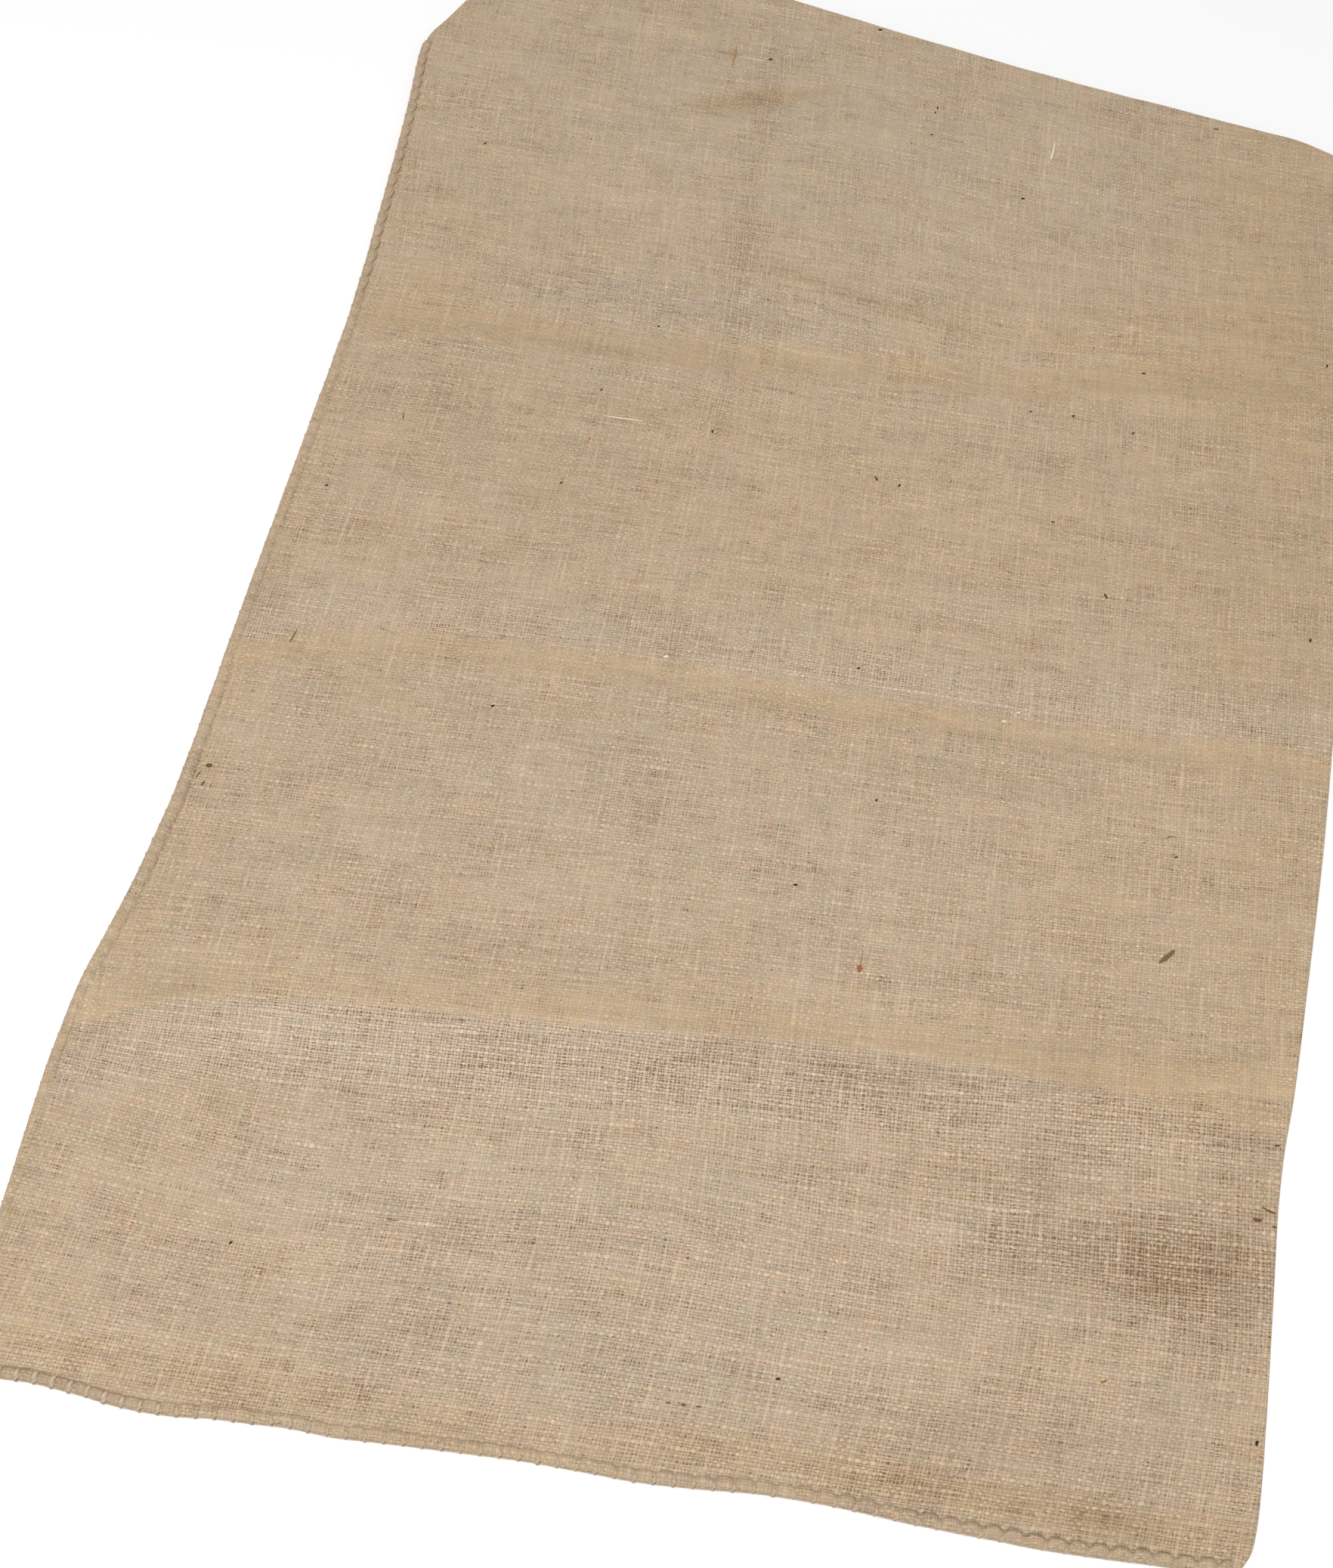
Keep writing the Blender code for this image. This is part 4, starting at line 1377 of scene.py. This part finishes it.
def make_corner_knot(material):
    """The knot in the end of the bottom seam's yarn, and its frayed stub."""
    t = np.linspace(0, 2 * pi, 49)
    x = np.sin(t) + 2 * np.sin(2 * t)
    y = np.cos(t) - 2 * np.cos(2 * t)
    loop = np.stack([x, y, -1.1 * np.sin(3 * t)], -1)
    courses = [(loop * KNOT_SIZE, KNOT_YARN, 8), (np.array(KNOT_LEAD), KNOT_YARN, 8)]
    for turn, length in STRANDS:
        reach = np.linspace(0, 1, len(STRAND_THICKNESS))[:, None]
        aim = np.array((cos(radians(turn)), sin(radians(turn)), 0.0))
        sway = STRAND_SWAY * np.sin(5 * reach + turn)
        strand = aim * reach * length + STRAND_DROOP * reach**2 + sway * reach
        courses.append((strand, STRAND_THICKNESS, 5))
    middle = np.array(KNOT_PLACE)
    parts = [yarn_mesh((middle + course) * MM, yarn * MM, sides) for course, yarn, sides in courses]
    return yarn_piece("corner_knot", parts, material)


# Bits of bark and odd fibres: place, length, width, turn from the weft, and bend and colour where
# they are not straight dark specks
BARK = (0.035, 0.022, 0.012)
BROWN = (0.16, 0.085, 0.035)
RUST = (0.34, 0.125, 0.05)
FADED = (0.42, 0.245, 0.135)
OLIVE = (0.19, 0.12, 0.05)
PALE = (0.80, 0.71, 0.57)
Bit = namedtuple("Bit", "x y length width turn bend colour", defaults=(0, BARK))
BITS = [
    Bit(-101, 476.5, 23, 1.5, 91, 0.02, FADED),
    Bit(-105, 478.4, 18, 1.4, 2, 0.04, FADED),
    Bit(-89, 477.3, 19, 0.6, 0, 0, PALE),
    Bit(-77, 480, 3.0, 1.4, 20),
    Bit(-243, 345, 2.6, 1.2, 60),
    Bit(-9, 532, 3.2, 1.6, 15),
    Bit(38, 462, 3.0, 1.1, 100),
    Bit(37, 457, 2.2, 1.0, 80),
    Bit(37, 434, 2.2, 1.0, 10),
    Bit(102, 388, 2.8, 1.3, 30),
    Bit(190, 248, 2.8, 1.3, 10),
    Bit(150, 200, 2.4, 1.2, 80),
    Bit(124, 197, 2.2, 1.0, 0),
    Bit(187, 195, 2.2, 1.0, 40),
    Bit(-131, 148, 2.4, 1.1, 70),
    Bit(-107, 210, 2.0, 1.0, 0),
    Bit(-240, 97, 6.0, 0.6, 100, 0.12),
    Bit(-270, 32, 2.2, 1.1, 20),
    Bit(-140, 68, 2.2, 1.1, 50),
    Bit(-61, 131, 2.4, 1.1, 90),
    Bit(-261, -81, 11, 0.8, 80, 0.06, BROWN),
    Bit(53, 116, 2.6, 1.2, 60),
    Bit(39, 118, 4.2, 1.1, 130, 0.1),
    Bit(180, 60, 4.2, 1.1, 125, 0.1),
    Bit(145, 110, 2.2, 1.1, 0),
    Bit(47, -28, 2.4, 1.1, 30),
    Bit(299, 56, 3.0, 1.3, 80),
    Bit(303, 285, 3.0, 1.2, 85),
    Bit(-145, -103, 2.6, 1.2, 40),
    Bit(68, -117, 2.4, 1.1, 80),
    Bit(33, -182, 2.6, 1.2, 10),
    Bit(-199, -447, 2.4, 1.2, 60),
    Bit(64, -461, 2.4, 1.2, 20),
    Bit(288, -446, 3.0, 1.7, 80),
    Bit(230, -182.3, 13.5, 2.3, 52, 0.01, OLIVE),
    Bit(227.5, -104, 6, 0.7, 25, -0.4, BROWN),
    Bit(231, -116.6, 2.4, 1.3, 42, 0, BROWN),
    Bit(73, -221, 13, 0.9, 88, 0.02, FADED),
    Bit(72.7, -226.5, 5.0, 2.3, 89, 0, RUST),
    Bit(-128, -419, 7.0, 0.7, 5, 0.1, RUST),
    Bit(223, 493, 4.0, 1.1, 10, 0, BROWN),
    Bit(291.8, -283.6, 3.2, 1.3, 13, 0, BROWN),
    Bit(279.7, -278.7, 3.0, 1.2, 29, 0, FADED),
    Bit(215, -430, 4.0, 1.0, 40, 0, RUST),
    Bit(289, -321.5, 8.0, 1.2, -19, 0.08, BROWN),
    Bit(283.7, -327.8, 5.2, 1.8, 3, 0.2, BROWN),
    Bit(292, -330, 2.6, 1.2, -9, 0, BROWN),
    Bit(-282, -178, 3.6, 2.4, 20, 0, BROWN),
    Bit(-286, -186, 6.0, 1.1, 75, 0, BROWN),
    Bit(-282, -190, 4.0, 0.9, 80, 0, BROWN),
    Bit(-59, -46, 3.0, 2.0, 30, 0, PALE),
    Bit(131, -46, 3.4, 1.2, 10, 0, PALE),
    Bit(138, -38, 2.8, 1.2, 20, 0, PALE),
    Bit(117.4, 441, 20, 1.0, 88, 0.02, PALE),
    Bit(116.8, 434.6, 6.0, 2.0, 84, 0, PALE),
    Bit(-114, 128, 24, 0.8, 4, 0, PALE),
    Bit(16, -483.5, 2.4, 1.0, 5, 0, BROWN),
    Bit(23, -483, 2.4, 1.0, 5, 0, BROWN),
    Bit(30, -482.5, 2.4, 1.0, 5, 0, BROWN),
]
BIT_FACETS = 7
BIT_FLATNESS = 0.3
BIT_LUMPS = 0.35
BIT_LIFT = 0.15  # millimetres over the cloth, or less for a bit narrower than one


def make_bits(settings, material):
    """Bark specks and odd fibres, each shaped from its own primitive and laid on the cloth."""
    pieces = []
    for index, bit in enumerate(BITS):
        deselect_all()
        bpy.ops.mesh.primitive_uv_sphere_add(segments=BIT_FACETS, ring_count=BIT_FACETS)
        speck = bpy.context.object
        speck.name = f"speck_{index}"
        points = np.empty(len(speck.data.vertices) * 3)
        speck.data.vertices.foreach_get("co", points)
        points = points.reshape(-1, 3)
        along = points[:, 2] * 0.5
        lumps = 1 + BIT_LUMPS * np.sin(9 * along + index) * np.cos(5 * along - 2 * index)
        aside = points[:, 0] * 0.5 * lumps
        up = points[:, 1] * BIT_FLATNESS
        bow = bit.bend * bit.length * (along**2 * 2 - 0.25)
        x, y = turned(along * bit.length, aside * bit.width + bow, -bit.turn)
        x, y, under = under_plan((bit.x + x) * MM, (bit.y + y) * MM, settings.ripples)
        z = under + (up * bit.width + BIT_LIFT * min(1.0, bit.width)) * MM
        placed = on_plan(np.stack([x, y, z], -1))
        speck.data.vertices.foreach_set("co", placed.ravel())
        speck.data.update()
        tint = speck.data.attributes.new("tint", "FLOAT_COLOR", "POINT")
        tint.data.foreach_set("color", np.tile((*bit.colour, 1.0), len(points)))
        speck.data.materials.append(material)
        pieces.append(speck)
    deselect_all()
    for speck in pieces:
        speck.select_set(True)
    bpy.context.view_layer.objects.active = pieces[0]
    bpy.ops.object.join()
    bits = bpy.context.object
    bits.name = "bark_and_fibres"
    bits.data.name = bits.name
    face_outwards(bits)
    return finish_piece(bits, LUMPY_ANGLE)


# ------------------------------------------------------------ settings, operators and panel


def share_setting(name, description, default, most):
    """A factor that a user can set."""
    return FloatProperty(
        name=name, description=description, default=default, min=0.0, max=most, subtype="FACTOR"
    )


def colour_setting(name, description, *default):
    """A colour that a user can set."""
    return FloatVectorProperty(
        name=name,
        description=description,
        default=(*default, 1.0),
        size=4,
        min=0.0,
        max=1.0,
        subtype="COLOR",
    )


class SackSettings(bpy.types.PropertyGroup):
    """Sizes and colours of the cloth and its sewing."""

    ripples: share_setting("Ripples", "How deep the slack cloth's small ripples are", 1.0, 2.0)
    yarn_contrast: share_setting(
        "Yarn contrast", "How much one yarn's lightness differs from the next one's", 0.55, 2.0
    )
    # Painted shade seen through the gaps between the yarns
    gap_shade_depth: share_setting("Gap depth", "How dark the gaps between the yarns are", 0.9, 1.0)
    grey_jute: colour_setting("Grey jute", "Colour of the greyest yarns", 0.561, 0.449, 0.338)
    golden_jute: colour_setting(
        "Golden jute", "Colour of the most golden yarns", 0.606, 0.447, 0.277
    )
    # Painted shade in the furrows between the yarns
    furrow_shade_colour: colour_setting(
        "Furrows", "Colour of the shade where yarns lie side by side", 0.30, 0.185, 0.10
    )
    # Painted shade of the sack's inside, seen through the gaps
    gap_shade_colour: colour_setting("Gaps", "Colour that shows between the yarns", 0.19, 0.10, 0.05)
    yarn_colour: colour_setting(
        "Stitching yarn", "Colour of the yarn that the hems are sewn with", 0.58, 0.445, 0.312
    )


class StudioSettings(bpy.types.PropertyGroup):
    """The floor, the light and the camera's lens."""

    floor_size: FloatProperty(
        name="Floor size", description="Width of the floor", default=16.0, min=2.0, unit="LENGTH"
    )
    floor_colour: colour_setting("Floor colour", "Colour of the floor", 0.96, 0.96, 0.96)
    world_light: FloatProperty(
        name="Light all round",
        description="Strength of the even light from all sides",
        default=0.50,
        min=0.0,
        max=4.0,
    )
    key_light: FloatProperty(
        name="Main light",
        description="Power of the large soft lamp",
        default=95.0,
        min=0.0,
        unit="POWER",
    )
    lens: FloatProperty(
        name="Lens",
        description="Focal length of the camera",
        default=65.0,
        min=10.0,
        unit="CAMERA",
    )


class SACK_OT_sheet(bpy.types.Operator):
    """Makes the sack's woven sheet in place of its plain solid"""

    bl_idname = "sack.sheet"
    bl_label = "Woven sheet"

    def execute(self, context):
        settings = context.scene.sack_settings
        sheet = make_sack_sheet(settings, woven_jute(settings))
        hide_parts(CLOTH_NODE)
        return {"FINISHED"}


class SACK_OT_hems(bpy.types.Operator):
    """Makes the rolled hems on the left side and across the bottom"""

    bl_idname = "sack.hems"
    bl_label = "Hems"

    def execute(self, context):
        settings = context.scene.sack_settings
        cloth = bpy.data.materials["woven jute"]
        for hem in (side_hem(), bottom_hem()):
            make_hem(hem, settings, cloth)
        return {"FINISHED"}


class SACK_OT_stitches(bpy.types.Operator):
    """Sews the hems with jute yarn"""

    bl_idname = "sack.stitches"
    bl_label = "Stitches"

    def execute(self, context):
        material = stitching_yarn(context.scene.sack_settings)
        make_side_stitches(side_hem(), material)
        make_bottom_stitches(bottom_hem(), material)
        return {"FINISHED"}


class SACK_OT_corner_knot(bpy.types.Operator):
    """Ties the end of the bottom seam's yarn at the corner"""

    bl_idname = "sack.corner_knot"
    bl_label = "Corner knot"

    def execute(self, context):
        make_corner_knot(bpy.data.materials["stitching yarn"])
        return {"FINISHED"}


class SACK_OT_bits(bpy.types.Operator):
    """Scatters the bark specks and odd fibres that were spun into the cloth"""

    bl_idname = "sack.bits"
    bl_label = "Bark and fibres"

    def execute(self, context):
        make_bits(context.scene.sack_settings, bark_and_fibres())
        return {"FINISHED"}


class SACK_OT_studio(bpy.types.Operator):
    """Sets up the pale floor, the soft light and the camera"""

    bl_idname = "sack.studio"
    bl_label = "Studio"

    def execute(self, context):
        studio = context.scene.studio_settings
        make_floor(studio)
        make_light(studio)
        make_camera(studio)
        context.scene.view_settings.view_transform = "Standard"
        return {"FINISHED"}


def side_hem():
    return Hem("side_hem", SIDE_HEM, SIDE_REACH, True)


def bottom_hem():
    return Hem("bottom_hem", BOTTOM_HEM, BOTTOM_REACH, False)


FLOOR_DROP = 0.2 * MM
FLOOR_CORNERS = 0.2  # radius of the floor's corners, as a share of its width
LAMP_PLACE = (-0.4, -1.6, 3.4)
LAMP_SIZE = 1.8
CAMERA_PLACE = (-0.00875, -1.06265, 1.21)
CAMERA_TURN = (37.066, -5.392, 9.591)
SENSOR = 36.0


def make_floor(studio):
    """A wide pale floor with rounded corners."""
    deselect_all()
    bpy.ops.mesh.primitive_plane_add(size=studio.floor_size, location=(0, 0, -FLOOR_DROP))
    floor = bpy.context.object
    floor.name = "studio_floor"
    bpy.ops.object.mode_set(mode="EDIT")
    bpy.ops.mesh.select_all(action="SELECT")
    bpy.ops.mesh.bevel(offset=studio.floor_size * FLOOR_CORNERS, segments=8, affect="VERTICES")
    bpy.ops.object.mode_set(mode="OBJECT")
    bpy.ops.object.transform_apply(location=True, rotation=True, scale=True)
    floor.data.materials.append(studio_floor(studio))


def make_light(studio):
    """A large soft lamp aimed at the sack, and an even light from all sides."""
    data = bpy.data.lights.new("main light", "AREA")
    data.shape = "DISK"
    data.size = LAMP_SIZE
    data.energy = studio.key_light
    light = bpy.data.objects.new("main light", data)
    light.location = LAMP_PLACE
    light.rotation_euler = (-Vector(LAMP_PLACE)).to_track_quat("-Z", "Y").to_euler()
    bpy.context.scene.collection.objects.link(light)
    world = bpy.data.worlds.new("studio")
    world.use_nodes = True
    background = world.node_tree.nodes["Background"]
    background.inputs["Color"].default_value = WHITE
    background.inputs["Strength"].default_value = studio.world_light
    bpy.context.scene.world = world


def make_camera(studio):
    """The camera, which looks down at the sack from its bottom seam's side."""
    data = bpy.data.cameras.new("camera")
    data.lens = studio.lens
    data.sensor_width = SENSOR
    camera = bpy.data.objects.new("camera", data)
    camera.location = CAMERA_PLACE
    camera.rotation_euler = [radians(angle) for angle in CAMERA_TURN]
    bpy.context.scene.collection.objects.link(camera)
    bpy.context.scene.camera = camera


STEPS = ("sheet", "hems", "stitches", "corner_knot", "bits", "studio")


class SACK_PT_panel(bpy.types.Panel):
    """Lists the sack's pieces"""

    bl_idname = "SACK_PT_panel"
    bl_label = "Jute sack"
    bl_space_type = "VIEW_3D"
    bl_region_type = "UI"
    bl_category = "Sack"

    def draw(self, context):
        layout = self.layout
        for group in (context.scene.sack_settings, context.scene.studio_settings):
            box = layout.box()
            for name in group.__annotations__:
                box.prop(group, name)
        for step in STEPS:
            layout.operator("sack." + step)


CLASSES = (
    SackSettings,
    StudioSettings,
    SACK_OT_sheet,
    SACK_OT_hems,
    SACK_OT_stitches,
    SACK_OT_corner_knot,
    SACK_OT_bits,
    SACK_OT_studio,
    SACK_PT_panel,
)


def register():
    for part in CLASSES:
        bpy.utils.register_class(part)
    bpy.types.Scene.sack_settings = PointerProperty(type=SackSettings)
    bpy.types.Scene.studio_settings = PointerProperty(type=StudioSettings)


def unregister():
    del bpy.types.Scene.studio_settings
    del bpy.types.Scene.sack_settings
    for part in reversed(CLASSES):
        bpy.utils.unregister_class(part)


def main():
    register()
    for step in STEPS:
        getattr(bpy.ops.sack, step)()


if __name__ == "__main__":
    main()
